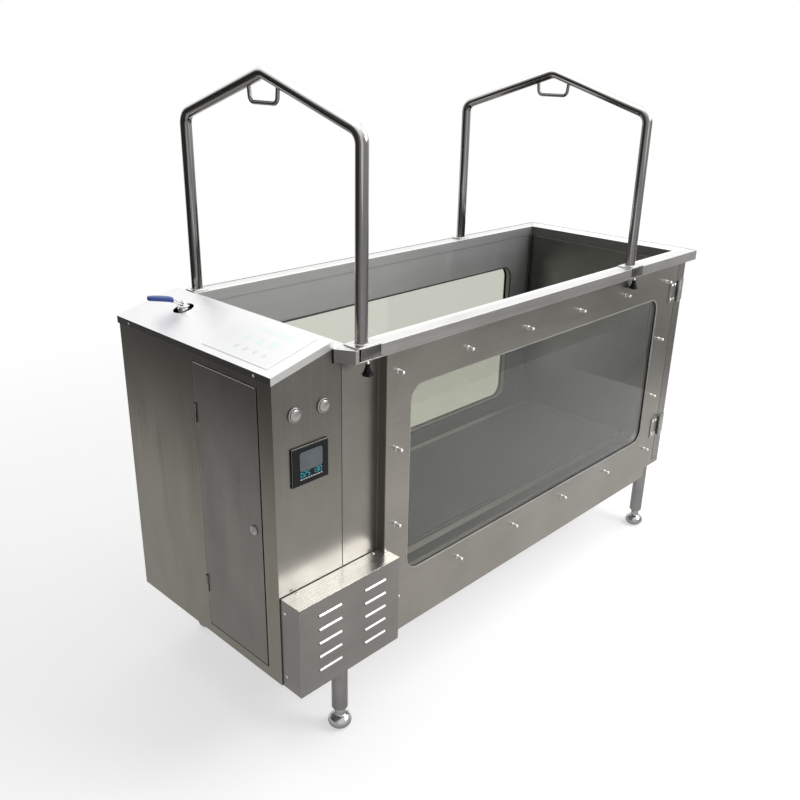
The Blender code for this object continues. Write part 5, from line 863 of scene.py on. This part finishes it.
def make_arch(name, near_x, far_x):
    """Tube, loop, two foot plates with a pin, clamp tongue and weld beads of one arch."""
    middle = spot((near_x + far_x) / 2, (NEAR_Y + FAR_Y) / 2, 0)
    along = spot(far_x, FAR_Y, 0) - spot(near_x, NEAR_Y, 0)
    slope = (PEAK - SHOULDER) / (np.linalg.norm(along) / 2)
    along = unit(along)
    normal = np.cross(along, UP)
    foot_level = PLATE_LOW + PLATE / 2
    corners = [
        spot(near_x, NEAR_Y, foot_level), spot(near_x, NEAR_Y, SHOULDER), middle + PEAK * UP,
        spot(far_x, FAR_Y, SHOULDER), spot(far_x, FAR_Y, foot_level)]
    tube = bent_bar(refine(arc_path(corners, BENDS), 0.05), ARCH_RADIUS, normal, 36)
    surface(name + "_tube", [(tube, *CAPPED)], ARCH_STEEL, name, (name,))
    top, bottom = PEAK - LOOP_TOP * slope, PEAK - LOOP_DROP
    corners = [middle + run * along + level * UP for run, level in (
        (-LOOP_TOP, top), (-LOOP_BOTTOM, bottom), (LOOP_BOTTOM, bottom), (LOOP_TOP, top))]
    loop = bent_bar(refine(arc_path(corners, [LOOP_BEND] * 2, 8), 0.02), LOOP_ROD, normal, 20)
    surface(name + "_loop", [(loop, *CAPPED)], LEG_STEEL, name)
    near_spot = spot(near_x + NEAR_PLATE_OFF, NEAR_PLATE_Y, PLATE_LOW)
    far_spot = spot(far_x, FAR_Y, PLATE_LOW)
    surface(name + "_feet", [
        plate(near_spot, RIGHT, BACK, *NEAR_PLATE, PLATE, PLATE_EDGE),
        plate(far_spot, RIGHT, BACK, *FAR_PLATE, PLATE, PLATE_EDGE),
        (turned(spot(far_x, FAR_Y, 0), UP, PIN_PROFILE, 32), *ROUND)], PLATE_STEEL, name)
    tongue_spot = spot(near_x + TONGUE_OFF, TONGUE_Y, TONGUE_LOW)
    surface(name + "_tongue", [plate(tongue_spot, RIGHT, BACK, *TONGUE, TONGUE_DEPTH, TONGUE_EDGE)],
            TONGUE_SHADED_STEEL, name)
    surface(name + "_welds", [
        weld_bead(spot(x, y, PLATE_LOW + PLATE), ARCH_RADIUS, BEAD)
        for x, y in ((near_x, NEAR_Y), (far_x, FAR_Y))], WELD_STEEL, name)


for arch_name, (near_x, far_x) in ARCH_FEET.items():
    make_arch(arch_name, near_x, far_x)
print("arches stand at", ARCH_FEET)

# %% [markdown]
# ## Clamp knobs
# Under the near foot of each arch a star knob pulls a stud up through the rim into the foot. The star is a
# circle whose radius swells six times round, and it is carried up a profile that rolls over at both edges.

# %% Knobs
KNOB_Y = -0.0515
STUD_RADIUS, THREAD_PITCH, THREAD_DEPTH = 0.0040, 0.0011, 0.00035
HEAD_PROFILE = [
    (0.0, 0.9105), (0.0115, 0.9105), (0.0150, 0.9110), (0.0164, 0.9122), (0.0170, 0.9138),
    (0.0170, 0.9160), (0.0164, 0.9174), (0.0148, 0.9184), (0.0118, 0.9190)]
HUB_PROFILE = [
    (0.0126, 0.9184), (0.0119, 0.9230), (0.0104, 0.9275), (0.0084, 0.9315), (0.0070, 0.9365),
    (0.0065, 0.9440), (0.0040, 0.9452)]


def make_knob(name, foot_x):
    """Radius = profile * (0.93 + 0.07 cos 6t) on the head, and a plain circle on the hub and stud."""
    centre = spot(foot_x, KNOB_Y, 0)
    t = circle(96)
    star = 0.93 + 0.07 * np.cos(6 * t)
    head = stacked(centre, HEAD_PROFILE, np.stack([np.cos(t) * star, np.sin(t) * star, 0 * t], axis=-1))
    hub = turned(centre, UP, HUB_PROFILE, 40)
    surface(name + "_head", [(head, *ROUND), (hub, *ROUND)], KNOB_BLACK, name, (name,), smooth=50)
    height = np.linspace(0.9447, 0.9835, 215)
    thread = STUD_RADIUS - THREAD_DEPTH * (0.5 + 0.5 * np.cos(2 * np.pi * height / THREAD_PITCH))
    thread[0] = thread[-1] = 0.0
    stud = turned(centre, UP, np.stack([thread, height], axis=1), 16)
    surface(name + "_stud", [(stud, *ROUND)], BOLT_STEEL, name)


for side in ("left", "right"):
    make_knob(side + "_clamp_knob", ARCH_FEET[side + "_arch"][0])
print("two clamp knobs")

# %% [markdown]
# ## Legs and feet
# Each leg is a tube with a levelling foot screwed into it. The foot is turned and chromed: a straight neck
# on a flattened ball with a small flat base. One profile carried round the axis gives all of it.

# %% Legs and feet
LEG_X, LEG_Y = {"left": 0.222, "right": 2.073}, {"near": -0.004, "far": 0.729}
LEG_TOP = {"left": -0.0203, "right": 0.0237}
LEG_END = [(0.026, -0.2056), (0.0252, -0.2070), (0.0083, -0.2070), (0.0083, -0.135), (0.0, -0.135)]
FOOT_BASE = [(0.0, -0.2815), (0.0205, -0.2815), (0.0218, -0.2812)]
FOOT_NECK = [
    (0.0168, -0.2362), (0.0164, -0.2345), (0.0162, -0.2300), (0.0162, -0.2120), (0.0150, -0.2110),
    (0.0150, -0.2077), (0.0080, -0.2073), (0.0080, -0.170), (0.0, -0.170)]
BALL_RADIUS, BALL_HALF, BALL_MIDDLE = 0.038, 0.026, -0.2604


def make_leg(row, side):
    """Leg tube with a bored end; foot ball radius = 38 mm * cos t, level = middle + 26 mm * sin t."""
    label, top = f"{row}_{side}", LEG_TOP[side]
    centre = spot(LEG_X[side], LEG_Y[row], 0)
    leg = turned(centre, UP, [(0.0, top), (0.026, top), *LEG_END])
    surface("leg_tube_" + label, [(leg, *ROUND)], LEG_STEEL, BODY_OF["leg_" + label], ("leg_" + label,))
    t = np.radians(np.linspace(-54, 62, 24))
    ball = np.stack([BALL_RADIUS * np.cos(t), BALL_MIDDLE + BALL_HALF * np.sin(t)], axis=1)
    foot = turned(centre, UP, np.concatenate([FOOT_BASE, ball, FOOT_NECK]), 56)
    surface("foot_pad_" + label, [(foot, *ROUND)], CHROME, BODY_OF["foot_" + label], ("foot_" + label,), 55)


for row in LEG_Y:
    for side in LEG_X:
        make_leg(row, side)

# %% [markdown]
# ## Window bolts
# Sixteen long cap nuts hold each window. Each is a small washer, a slim turned body and a dome. The nut is
# one small profile, turned about every centre.

# %% Window bolts
BOLT_SPOTS = [(x, z) for z in (0.885, 0.130) for x in (0.430, 0.742, 1.056, 1.372, 1.686, 2.012)]
BOLT_SPOTS += [(x, z) for z in (0.640, 0.385) for x in (0.430, 2.010)]
NUT_PROFILE = [
    (0.0, 0.0), (0.0074, 0.0), (0.0074, 0.0010), (0.0070, 0.0014), (0.0056, 0.0014), (0.0056, 0.0185),
    (0.0052, 0.0206), (0.0042, 0.0222), (0.0024, 0.0230), (0.0, 0.0232)]
PANEL_FACES = {"near": (-0.0342, -BACK), "far": (0.7592, BACK)}
for row, (face_y, outward) in PANEL_FACES.items():
    nuts = [(turned(spot(x, face_y, z), outward, NUT_PROFILE, 18), *ROUND) for x, z in BOLT_SPOTS]
    surface("window_nuts_" + row, nuts, BOLT_STEEL, "frame", smooth=38)
print(2 * len(BOLT_SPOTS), "window nuts")

# %% [markdown]
# ## Small screws
# Pan head screws hold the lid, the vent cover and the hinge leaves. The head is a flattened dome with a
# straight slot, which is cut here by lowering the points of the grid that fall inside it.

# %% Screws
HINGE_FACE = -0.0377
HINGE_LEVELS = {"lower": 0.217, "upper": 0.832}
LID_SCREW, VENT_SCREW, HINGE_SCREW = 0.0040, 0.0048, 0.0052


def screw(x, y, z, axis, radius, slot_turn):
    """Dome of radius r: height = 0.42 r (1 - (d / r)^2.6), less 0.25 r inside a slot of half width 0.14 r."""
    t = circle(24)
    share = np.array([1.0, 1.0, 0.93, 0.80, 0.62, 0.42, 0.22, 0.0])
    lift = 0.42 * radius * (1 - share ** 2.6) + 0.16 * radius
    lift[0] = 0.0
    a, b = across_axes(axis)
    u = share[:, None] * np.cos(t)
    v = share[:, None] * np.sin(t)
    off = -u * math.sin(slot_turn) + v * math.cos(slot_turn)
    height = lift[:, None] - 0.25 * radius * (np.abs(off) < 0.14) * (share < 0.95)[:, None]
    return spot(x, y, z) + radius * (u[..., None] * a + v[..., None] * b) + height[..., None] * axis, *ROUND


lid_screws = [screw(-0.0036, y, 0.952, -RIGHT, LID_SCREW, turn) for y, turn in ((0.6863, 0.3), (0.0673, 1.1))]
surface("lid_screws", lid_screws, BOLT_STEEL, "frame")
vent_screws = [screw(x, -0.012, 0.3001, UP, VENT_SCREW, x * 9) for x in (0.054, 0.358)]
vent_screws += [screw(0.0038, -0.020, z, -RIGHT, VENT_SCREW, z * 7) for z in (0.042, 0.262)]
vent_screws += [screw(0.4012, -0.060, z, RIGHT, VENT_SCREW, z * 7) for z in (0.042, 0.262)]
surface("vent_screws", vent_screws, BOLT_STEEL, "frame")
for label, level in HINGE_LEVELS.items():
    fixed = [screw(x, HINGE_FACE, level + dz, -BACK, HINGE_SCREW, x * 31 + dz * 90)
             for x in (2.060, 2.082) for dz in (-0.030, 0.030)]
    surface(f"hinge_screws_{label}_fixed", fixed, BOLT_STEEL, "frame")
    moving = [screw(2.140, HINGE_FACE, level + dz, -BACK, HINGE_SCREW, dz * 70) for dz in (-0.030, 0.030)]
    surface(f"hinge_screws_{label}_moving", moving, BOLT_STEEL, "entry_door")
print(len(lid_screws) + len(vent_screws) + 2 * (len(fixed) + len(moving)), "small screws")

# %% [markdown]
# ## Buttons and lock
# The start and stop buttons are polished domes in turned bezels. The lock on the cabinet door is a short
# turned barrel with a cam behind it and a key slot, whose shade is painted as a thin dark plate let into
# its face.

# %% Buttons and lock
BUTTON_X, BUTTON_Z = {"start": 0.072, "stop": 0.173}, 0.841
LOCK_Y, LOCK_Z = 0.102, 0.481
BEZEL_PROFILE = [
    (0.0223, -0.0003), (0.0223, -0.0028), (0.0219, -0.0040), (0.0210, -0.0052), (0.0199, -0.0059),
    (0.0190, -0.0059), (0.0183, -0.0053), (0.0181, -0.0044), (0.0181, -0.0003)]
LOCK_PROFILE = [
    (0.0, -0.0036), (0.0052, -0.0036), (0.0054, -0.0043), (0.0112, -0.0043), (0.0134, -0.0039),
    (0.0148, -0.0026), (0.0150, -0.0014), (0.0150, -0.0003), (0.0115, -0.0003), (0.0115, 0.0240),
    (0.0, 0.0240)]
# Painted shade: the dark plate stands for the shade inside the key slot.
KEY_SLOT_SHADE = moulded("key_slot_shade", (0.008, 0.008, 0.008), (0.014, 0.014, 0.014), 0.6)
angle = np.radians(np.linspace(90, 0, 16))
button_profile = np.concatenate([
    [(0.0, 0.022), (0.0100, 0.022), (0.0100, -0.0046), (0.0176, -0.0046)],
    np.stack([0.0178 * np.sin(angle), -0.0058 - 0.0061 * np.cos(angle)], axis=1)])
for label, x in BUTTON_X.items():
    centre = spot(x, 0, BUTTON_Z)
    button, bezel = label + "_button", label + "_bezel"
    surface(button + "_dome", [(turned(centre, BACK, button_profile, 56), *ROUND)],
            BUTTON_STEEL, BODY_OF[button], (button,))
    surface(bezel + "_ring", [(turned(centre, BACK, BEZEL_PROFILE, 56), *RING)],
            BUTTON_STEEL, "frame", (bezel,))
surface("lock_barrel", [
    (turned(spot(0, LOCK_Y, LOCK_Z), RIGHT, LOCK_PROFILE), *ROUND),
    plate(spot(0.02275, LOCK_Y, 0.5035), BACK, UP, 0.006, 0.0275, 0.003, 0.0020, 0.0004),
], BUTTON_STEEL, "cabinet_lock", ("cabinet_lock",))
surface("lock_key_slot", [
    plate(spot(-0.0037, LOCK_Y, LOCK_Z), UP, BACK, 0.0040, 0.0008, 0.0004, 0.0002, 0.00005),
], KEY_SLOT_SHADE, "cabinet_lock")
print("two buttons and one lock")

# %% [markdown]
# ## Inlet valve
# A ball valve stands up through the lid. Its body is turned, with a hexagon on the bonnet and a packing
# nut on the stem, and a flat steel lever with a blue vinyl sleeve sits on top. The sleeve's section is a
# rounded rectangle that grows and shrinks along the lever, so it is a grid too.

# %% Valve
VALVE = spot(0.128, 0.5875, 0)
LEVER_TURN = math.radians(152.0)
ALONG = np.array([math.cos(LEVER_TURN), math.sin(LEVER_TURN), 0.0])
ACROSS = np.array([-math.sin(LEVER_TURN), math.cos(LEVER_TURN), 0.0])


def hexagon(across_flats, low, high, chamfer):
    """Six sided nut: corner radius = flats / (2 cos 30), drawn in by a chamfer at both ends."""
    t = circle(6) + 0.3
    corner = across_flats / 2 / math.cos(math.pi / 6)
    return stacked(VALVE, [
        (0.0, low), (corner - chamfer, low), (corner, low + chamfer), (corner, high - chamfer),
        (corner - chamfer, high), (0.0, high)], np.stack([np.cos(t), np.sin(t), 0 * t], axis=-1)), *ROUND


def lever_grid(stations, power=0.5):
    """Section = rounded rectangle, half sizes w and h: sign(cos t) |cos t|^p w, sign(sin t) |sin t|^p h."""
    distance, rise, half_width, half_height = np.array(stations, float).T
    t = circle(28)
    c = np.sign(np.cos(t)) * np.abs(np.cos(t)) ** power
    s = np.sign(np.sin(t)) * np.abs(np.sin(t)) ** power
    middle = VALVE + distance[:, None] * ALONG + rise[:, None] * UP
    return (middle[:, None] + (half_width[:, None] * c)[..., None] * ACROSS
            + (half_height[:, None] * s)[..., None] * UP), *ROUND


CASTING = [(0.0, 0.941), (0.0150, 0.941), (0.0175, 0.946), (0.0175, 0.9960), (0.0170, 0.9978),
           (0.0154, 0.9990), (0.0130, 0.9996), (0.0, 0.9996)]
COLLAR = [(0.0, 1.0060), (0.0090, 1.0060), (0.0090, 1.0078), (0.0082, 1.0084), (0.0, 1.0084)]
STEM = [(0.0, 1.0075), (0.0050, 1.0075), (0.0050, 1.0204), (0.0044, 1.0212), (0.0, 1.0212)]
WASHER = [(0.0110, 1.0089), (0.0110, 1.0112), (0.0106, 1.0118), (0.0053, 1.0118), (0.0053, 1.0089)]
# The lever's stations are (distance from the stem, level, half width, half height).
FLAT_BAR = [(0.0075, 1.0134, 0.0, 0.0), (0.0075, 1.0134, 0.0124, 0.0026), (0.0150, 1.0140, 0.0134, 0.0030),
            (0.0195, 1.0164, 0.0138, 0.0034), (0.0260, 1.0218, 0.0138, 0.0036),
            (0.0305, 1.0252, 0.0136, 0.0034), (0.0400, 1.0272, 0.0128, 0.0030),
            (0.0700, 1.0310, 0.0110, 0.0018), (0.0700, 1.0310, 0.0, 0.0)]
SLEEVE = [(0.0272, 1.0236, 0.0, 0.0), (0.0272, 1.0236, 0.0138, 0.0050), (0.0282, 1.0242, 0.0148, 0.0064),
          (0.0400, 1.0274, 0.0140, 0.0072), (0.0560, 1.0298, 0.0138, 0.0074),
          (0.0800, 1.0322, 0.0128, 0.0074), (0.0950, 1.0332, 0.0114, 0.0068),
          (0.1010, 1.0336, 0.0094, 0.0056), (0.1034, 1.0336, 0.0062, 0.0036), (0.1040, 1.0336, 0.0, 0.0)]
surface("valve_casting", [
    (turned(VALVE, UP, CASTING), *ROUND), hexagon(0.0330, 0.9990, 1.0064, 0.0018),
    (turned(VALVE, UP, COLLAR, 40), *ROUND)], LEVER_STEEL, "frame", ("valve_body",), smooth=30)
surface("valve_stem", [(turned(VALVE, UP, STEM, 28), *ROUND)], BOLT_STEEL, "frame", smooth=30)
surface("lever_sleeve", [lever_grid(SLEEVE)], LEVER_BLUE, "valve_lever", ("valve_lever",))
surface("lever_bar", [lever_grid(FLAT_BAR, power=0.35), (turned(VALVE, UP, WASHER, 40), *RING)],
        LEVER_STEEL, "valve_lever", smooth=35)
surface("lever_nut", [hexagon(0.0150, 1.0121, 1.0178, 0.0006)], BOLT_STEEL, "valve_lever", smooth=30)
print("the valve stands at", VALVE[:2].round(4))

# %% [markdown]
# ## Display details
# The display has a thin bright frame, a grey crystal field, and two groups of teal figures below it made
# of seven segments. Each segment is a small flat plate. The row of marks under them is left plain.

# %% Display details
SEGMENTS = {"0": "abcdef", "1": "bc", "2": "abged", "3": "abgcd", "5": "afgcd"}
# Where each segment lies: side and level as parts of the figure's half size, and 1 if it lies flat.
SHAPE = {"a": (0, 1, 1), "b": (1, 0.5, 0), "c": (1, -0.5, 0), "d": (0, -1, 1), "e": (-1, -0.5, 0),
         "f": (-1, 0.5, 0), "g": (0, 0, 1)}
DISPLAY_FACE, FIGURE_THICKNESS = -0.0066, 0.00018
FIGURE_Z, FIGURE_HEIGHT, FIGURE_PITCH = 0.6610, 0.0150, 0.0120
TRIM_Y = -0.0052
TEAL = moulded("figure_teal", (0.02, 0.28, 0.36), (0.04, 0.36, 0.44), 0.35, texture=800.0, bump=0.02)
fill(TEAL.node_tree, TEAL.node_tree.nodes["Principled BSDF"],
     Emission_Color=(0.05, 0.50, 0.62), Emission_Strength=0.5)
MARK = moulded("mark_grey", (0.66, 0.68, 0.69), (0.80, 0.81, 0.82), 0.45, texture=800.0, bump=0.02)


def flat_plate(x, z, half_x, half_z):
    """A tiny plate lying on the display, facing the near side."""
    return plate(spot(x, DISPLAY_FACE, z), RIGHT, UP, half_x, half_z, min(half_x, half_z) * 0.3,
                 FIGURE_THICKNESS, FIGURE_THICKNESS * 0.3, 1)


def figures(text, x):
    """Seven segment figures: each lit segment is a plate at its own place in the figure."""
    made = []
    for number, figure in enumerate(text):
        middle = x + number * FIGURE_PITCH
        for segment in SEGMENTS[figure]:
            side, level, lying = SHAPE[segment]
            half_x, half_z = np.array((0.20, 0.050) if lying else (0.055, 0.19)) * FIGURE_HEIGHT
            made.append(flat_plate(middle + side * FIGURE_HEIGHT * 0.25,
                                   FIGURE_Z + level * FIGURE_HEIGHT * 0.45, half_x, half_z))
    return made


surface("display_crystal", [flat_plate(0.1225, 0.6995, 0.0405, 0.0290)], CRYSTAL, "frame")
lit = figures("025", 0.0885) + figures("130", 0.1310)
surface("display_figures", lit, TEAL, "frame")
marks = [flat_plate(x, 0.6475, 0.0032, 0.0016) for x in np.linspace(0.086, 0.158, 9)]
surface("display_marks", marks, MARK, "frame")
surface("display_trim", [
    straight_bar((0.0562, TRIM_Y, 0.7440), (0.1858, TRIM_Y, 0.7440), 0.0009, UP, 12),
    straight_bar((0.0560, TRIM_Y, 0.6292), (0.0560, TRIM_Y, 0.7438), 0.0007, RIGHT, 12),
], LEG_STEEL, "frame")
print(len(lit), "lit segments and", len(marks), "marks")

# %% [markdown]
# ## Seams and weld lines
# The rim is mitred and welded at its right corners, and two short beads cross it near its left end. A
# bead is a thin round bar with a ripple along it, carried along the seam.

# %% Seams
SEAM_SIZE, SEAM_RIPPLE = 0.0006, 0.004
RIM_SEAMS = [
    ((2.1065, 0.0060), (2.1940, -0.0570)), ((2.1065, 0.7190), (2.1940, 0.7820)),
    ((0.2400, -0.0575), (0.2700, 0.0050)), ((0.2100, -0.0120), (0.2620, 0.0130))]


def seam(start, end):
    """Bead = thin bar whose radius swells by 15% with each ripple along the path."""
    path = refine(np.array([spot(*start, RIM_TOP), spot(*end, RIM_TOP)]), SEAM_RIPPLE / 4)
    run = np.concatenate([[0.0], np.cumsum(np.linalg.norm(np.diff(path, axis=0), axis=1))])
    radius = SEAM_SIZE * (1 + 0.15 * np.sin(2 * np.pi * run / SEAM_RIPPLE))
    return bent_bar(path, radius, UP, 8), *CAPPED


surface("rim_seams", [seam(start, end) for start, end in RIM_SEAMS], WELD_STEEL, "frame")
print(len(RIM_SEAMS), "rim seams")

# %% [markdown]
# ## Beads round the windows
# A pale sealant fillet closes the corner between each pane and its panel, and a black edge trim is pushed
# on the cut edge inside the tank. Both are a circle carried round a rectangle with round corners.

# %% Window beads
WINDOW_CORNER = 0.054
CORNER_MIDDLES = [(1.906, 0.771), (0.539, 0.771), (0.539, 0.237), (1.906, 0.237)]


def window_bead(y, grow, size, arc=14, sides=12):
    """Path = four corner arcs of radius 54 mm + grow, joined by straight runs; section = circle of size."""
    quarter = np.linspace(0, np.pi / 2, arc)
    angles = (quarter + np.arange(4)[:, None] * np.pi / 2).ravel()
    middles = np.repeat(CORNER_MIDDLES, arc, axis=0)
    out = np.stack([np.cos(angles), np.sin(angles)], axis=1)
    t = circle(sides)
    flat = middles[:, None] + (WINDOW_CORNER + grow + size * np.cos(t))[None, :, None] * out[:, None]
    depth = np.broadcast_to(y + size * np.sin(t), flat.shape[:2])
    return np.stack([flat[..., 0], depth, flat[..., 1]], axis=-1) - SHIFT, *RING


for label, face_y, inner_y in (("near", -0.0318, 0.0058), ("far", 0.7568, 0.7192)):
    surface("sealant_" + label, [window_bead(face_y, -0.0016, 0.0022)], SEALANT, "frame")
    surface("edge_trim_" + label, [window_bead(inner_y, 0.0006, 0.0034)], SEAL_RUBBER, "frame")
print("four window beads")

# %% [markdown]
# ## Hems and gaps
# Sheet edges are folded over, and the fold shows as a thin line that is brighter or darker than the
# sheet. Thin bars paint these lines: a dark bar of painted shade along the rim's outer hem, and a bright
# bar of painted highlight on the cabinet door's top fold. A thin strip of rubber closes the joint between
# the vent cover and the wall behind it, and a gasket stands in the tank's far right corner.

# %% Hems
HEM_Z = 0.9918
NECK_X, NECK_Y = 0.2400, -0.0003
GASKET_X, GASKET_Y = 2.0920, 0.7160
# Dark bars of painted shade along the rim's outer hem.
surface("rim_hem_shade", [
    straight_bar((0.27, 0.7804, HEM_Z), (2.1926, 0.7804, HEM_Z), 0.0024),
    straight_bar((2.1926, 0.7806, HEM_Z), (2.1926, -0.0556, HEM_Z), 0.0020)], SEAM_AND_HEM_SHADE, "frame")
# A bright bar on the cabinet door's top fold: a painted highlight line.
surface("cabinet_door_hem_highlight", [
    straight_bar((-0.0006, 0.068, 0.9158), (-0.0006, 0.355, 0.9158), 0.0011)], BOLT_STEEL, "cabinet_door")
surface("vent_joint", [
    straight_bar((0.0042, -0.0014, 0.3004), (0.3830, -0.0014, 0.3004), 0.0012),
    straight_bar((0.0036, -0.0010, 0.0012), (0.0036, -0.0010, 0.3004), 0.0008)], SEAL_RUBBER, "frame")
surface("neck_seam", [
    straight_bar((NECK_X, NECK_Y, 0.306), (NECK_X, NECK_Y, 0.948), 0.0013)], SEAM_AND_HEM_SHADE, "frame")
surface("corner_gasket", [
    straight_bar((GASKET_X, GASKET_Y, 0.1750), (GASKET_X, GASKET_Y, 0.9530), 0.0040)], SEAL_RUBBER, "frame")
print("hems laid")

# %% [markdown]
# ## The studio
# The floor is pale and the light is soft and even. A camera ray sees the world as plain white, and the
# floor fades to the same white away from the machine. Glossy and transmission rays see the same, so that
# polished steel mirrors a white room.

# %% Floor and world
FLOOR_REACH, FLOOR_LEVEL = 30.0, -0.0006
FLOOR_GREY, FLOOR_GLOW = (0.66, 0.66, 0.66), 0.50
FADE_START, FADE_END = 1.7, 4.2
WORLD_LIGHT, WORLD_SEEN = 0.44, 1.0
WHITE = (1.0, 1.0, 1.0)


def seen_by_eye(tree):
    """1 on rays from the camera, also those that a mirror or a window sends on."""
    rays = node(tree, "LightPath").outputs
    seen = arithmetic(tree, "MAXIMUM", rays["Is Camera Ray"], rays["Is Glossy Ray"])
    return arithmetic(tree, "MAXIMUM", seen, rays["Is Transmission Ray"])


def show_mix(tree, share, first, second):
    """Material output = first shader where the share is 0, second where it is 1."""
    both = node(tree, "MixShader", share, first.outputs[0], second.outputs[0])
    feed(tree, both.outputs[0], tree.nodes["Material Output"].inputs["Surface"])


def make_floor():
    """A large floor: it keeps the shadow near the machine and fades to plain white further out."""
    mesh = bpy.data.meshes.new("studio_floor")
    mesh.from_pydata([(x * FLOOR_REACH, y * FLOOR_REACH, FLOOR_LEVEL)
                      for x, y in ((-1, -1), (1, -1), (1, 1), (-1, 1))], [], [(0, 1, 2, 3)])
    floor = add_object("studio_floor", mesh)
    material, tree, shader = start_material("studio_floor")
    seen = seen_by_eye(tree)
    fill(tree, shader, Base_Color=FLOOR_GREY, Roughness=0.9, Specular_IOR_Level=0.1, Emission_Color=WHITE,
         Emission_Strength=arithmetic(tree, "MULTIPLY", seen, FLOOR_GLOW))
    place = node(tree, "TexCoord").outputs["Object"]
    reach = node(tree, "VectorMath", place, operation="LENGTH").outputs["Value"]
    share = arithmetic(tree, "MULTIPLY", span(tree, reach, FADE_START, FADE_END, smooth=True), seen)
    show_mix(tree, share, shader, node(tree, "Emission", Strength=1.0))
    mesh.materials.append(material)


make_floor()
world = bpy.data.worlds.new("studio")
world.use_nodes = True
bpy.context.scene.world = world
air = world.node_tree
strength = span(air, seen_by_eye(air), 0.0, 1.0, WORLD_LIGHT, WORLD_SEEN)
fill(air, air.nodes["Background"], Color=WHITE, Strength=strength)
print("floor and world set")

# %% [markdown]
# ### Dark screens
# Three dark cards stand out of view: left of the machine, in front of it and beside its right end. They
# are seen only as reflections, and they give the steel its darker sides. Their edges are soft, so that no
# hard line shows in the polished parts.


# %% Screens
def screen(name, corner, width, height, shade, soft):
    """A card from corner to corner + width + height * up; its cover rises from 0 at the edge to 1 at soft."""
    across = np.array([0.0, soft, 1 - soft, 1.0])
    u, v = np.meshgrid(across, across)
    points = corner + u[..., None] * np.array(width) + v[..., None] * height * UP
    faces = [(k, k + 1, k + 5, k + 4) for k in (0, 1, 2, 4, 5, 6, 8, 9, 10)]
    mesh = bpy.data.meshes.new(name)
    mesh.from_pydata(points.reshape(-1, 3).tolist(), [], faces)
    cover = ((u > 0) & (u < 1) & (v > 0) & (v < 1)).astype(float)
    mesh.attributes.new("cover", "FLOAT", "POINT").data.foreach_set("value", cover.ravel())
    card = add_object(name, mesh)
    material, tree, shader = start_material(name)
    fill(tree, shader, Base_Color=[shade] * 3, Roughness=1.0, Specular_IOR_Level=0.0)
    spread = node(tree, "Attribute", attribute_name="cover").outputs["Fac"]
    show_mix(tree, spread, node(tree, "BsdfTransparent"), shader)
    mesh.materials.append(material)
    card.visible_camera = card.visible_diffuse = card.visible_transmission = card.visible_shadow = False


screen("left_screen", (-1.95, -1.2, 0.10), (0.0, 5.4, 0.0), 2.8, 0.14, 0.2)
screen("front_screen", (-0.6, -2.1, -0.2), (6.2, 0.0, 0.0), 1.5, 0.60, 0.35)
screen("right_screen", (2.6, -1.85, -0.35), (0.0, 1.45, 0.0), 1.35, 0.42, 0.45)
print("three screens set")

# %% [markdown]
# ### Lamps
# Three large soft lamps hang above: the key lamp in front to the right, one over the tank, and one that
# fills the near side.


# %% Lamps
def soft_lamp(name, place, aim, size, power):
    """A rectangular area lamp that looks at a point."""
    data = bpy.data.lights.new(name, "AREA")
    data.shape = "RECTANGLE"
    data.size, data.size_y = size
    data.energy = power
    lamp = add_object(name, data)
    lamp.location = place
    lamp.rotation_mode = "QUATERNION"
    lamp.rotation_quaternion = (Vector(aim) - Vector(place)).to_track_quat("-Z", "Y")


soft_lamp("key_lamp", (3.2, -1.9, 4.0), (0.1, 0.0, 0.8), (3.2, 3.2), 80)
soft_lamp("top_lamp", (-0.4, 0.6, 4.4), (0.0, 0.1, 0.8), (4.0, 3.0), 32)
soft_lamp("front_lamp", (1.65, -3.4, 3.25), (-0.9, -0.4, 0.58), (1.8, 1.4), 68)
print("lamps set")

# %% [markdown]
# ## The camera
# The photograph was taken from the left and above, with the camera rolled by about a degree. The place
# and the turn come from fitting the tank's straight edges. The focal length was found in pixels of a
# picture 800 pixels wide, and the sensor's width turns it into millimetres.

# %% Camera
SENSOR_WIDTH = 36.0
FOCAL_PIXELS, PICTURE_PIXELS = 855.7254, 800.0
EYE = spot(-1.2350, -1.6250, 1.7205)
yaw, pitch, roll = (math.radians(v) for v in (43.552, -21.882, 1.266))
forward = np.array([math.cos(pitch) * math.cos(yaw), math.cos(pitch) * math.sin(yaw), math.sin(pitch)])
level_right = np.array([math.sin(yaw), -math.cos(yaw), 0.0])
level_up = np.cross(level_right, forward)
camera_right = math.cos(roll) * level_right + math.sin(roll) * level_up
camera_up = -math.sin(roll) * level_right + math.cos(roll) * level_up
camera_data = bpy.data.cameras.new("photo_camera")
camera_data.sensor_width = SENSOR_WIDTH
camera_data.lens = FOCAL_PIXELS / PICTURE_PIXELS * SENSOR_WIDTH
camera_data.clip_start, camera_data.clip_end = 0.05, 60.0
camera = add_object("photo_camera", camera_data)
camera.rotation_mode = "QUATERNION"
camera.rotation_quaternion = Matrix(np.stack([camera_right, camera_up, -forward], axis=1)).to_quaternion()
camera.location = EYE.tolist()
bpy.context.scene.camera = camera
bpy.context.scene.view_settings.view_transform = "Standard"
print("the camera's lens is", round(camera_data.lens, 2), "mm")

# %% Update the scene
bpy.context.view_layer.update()
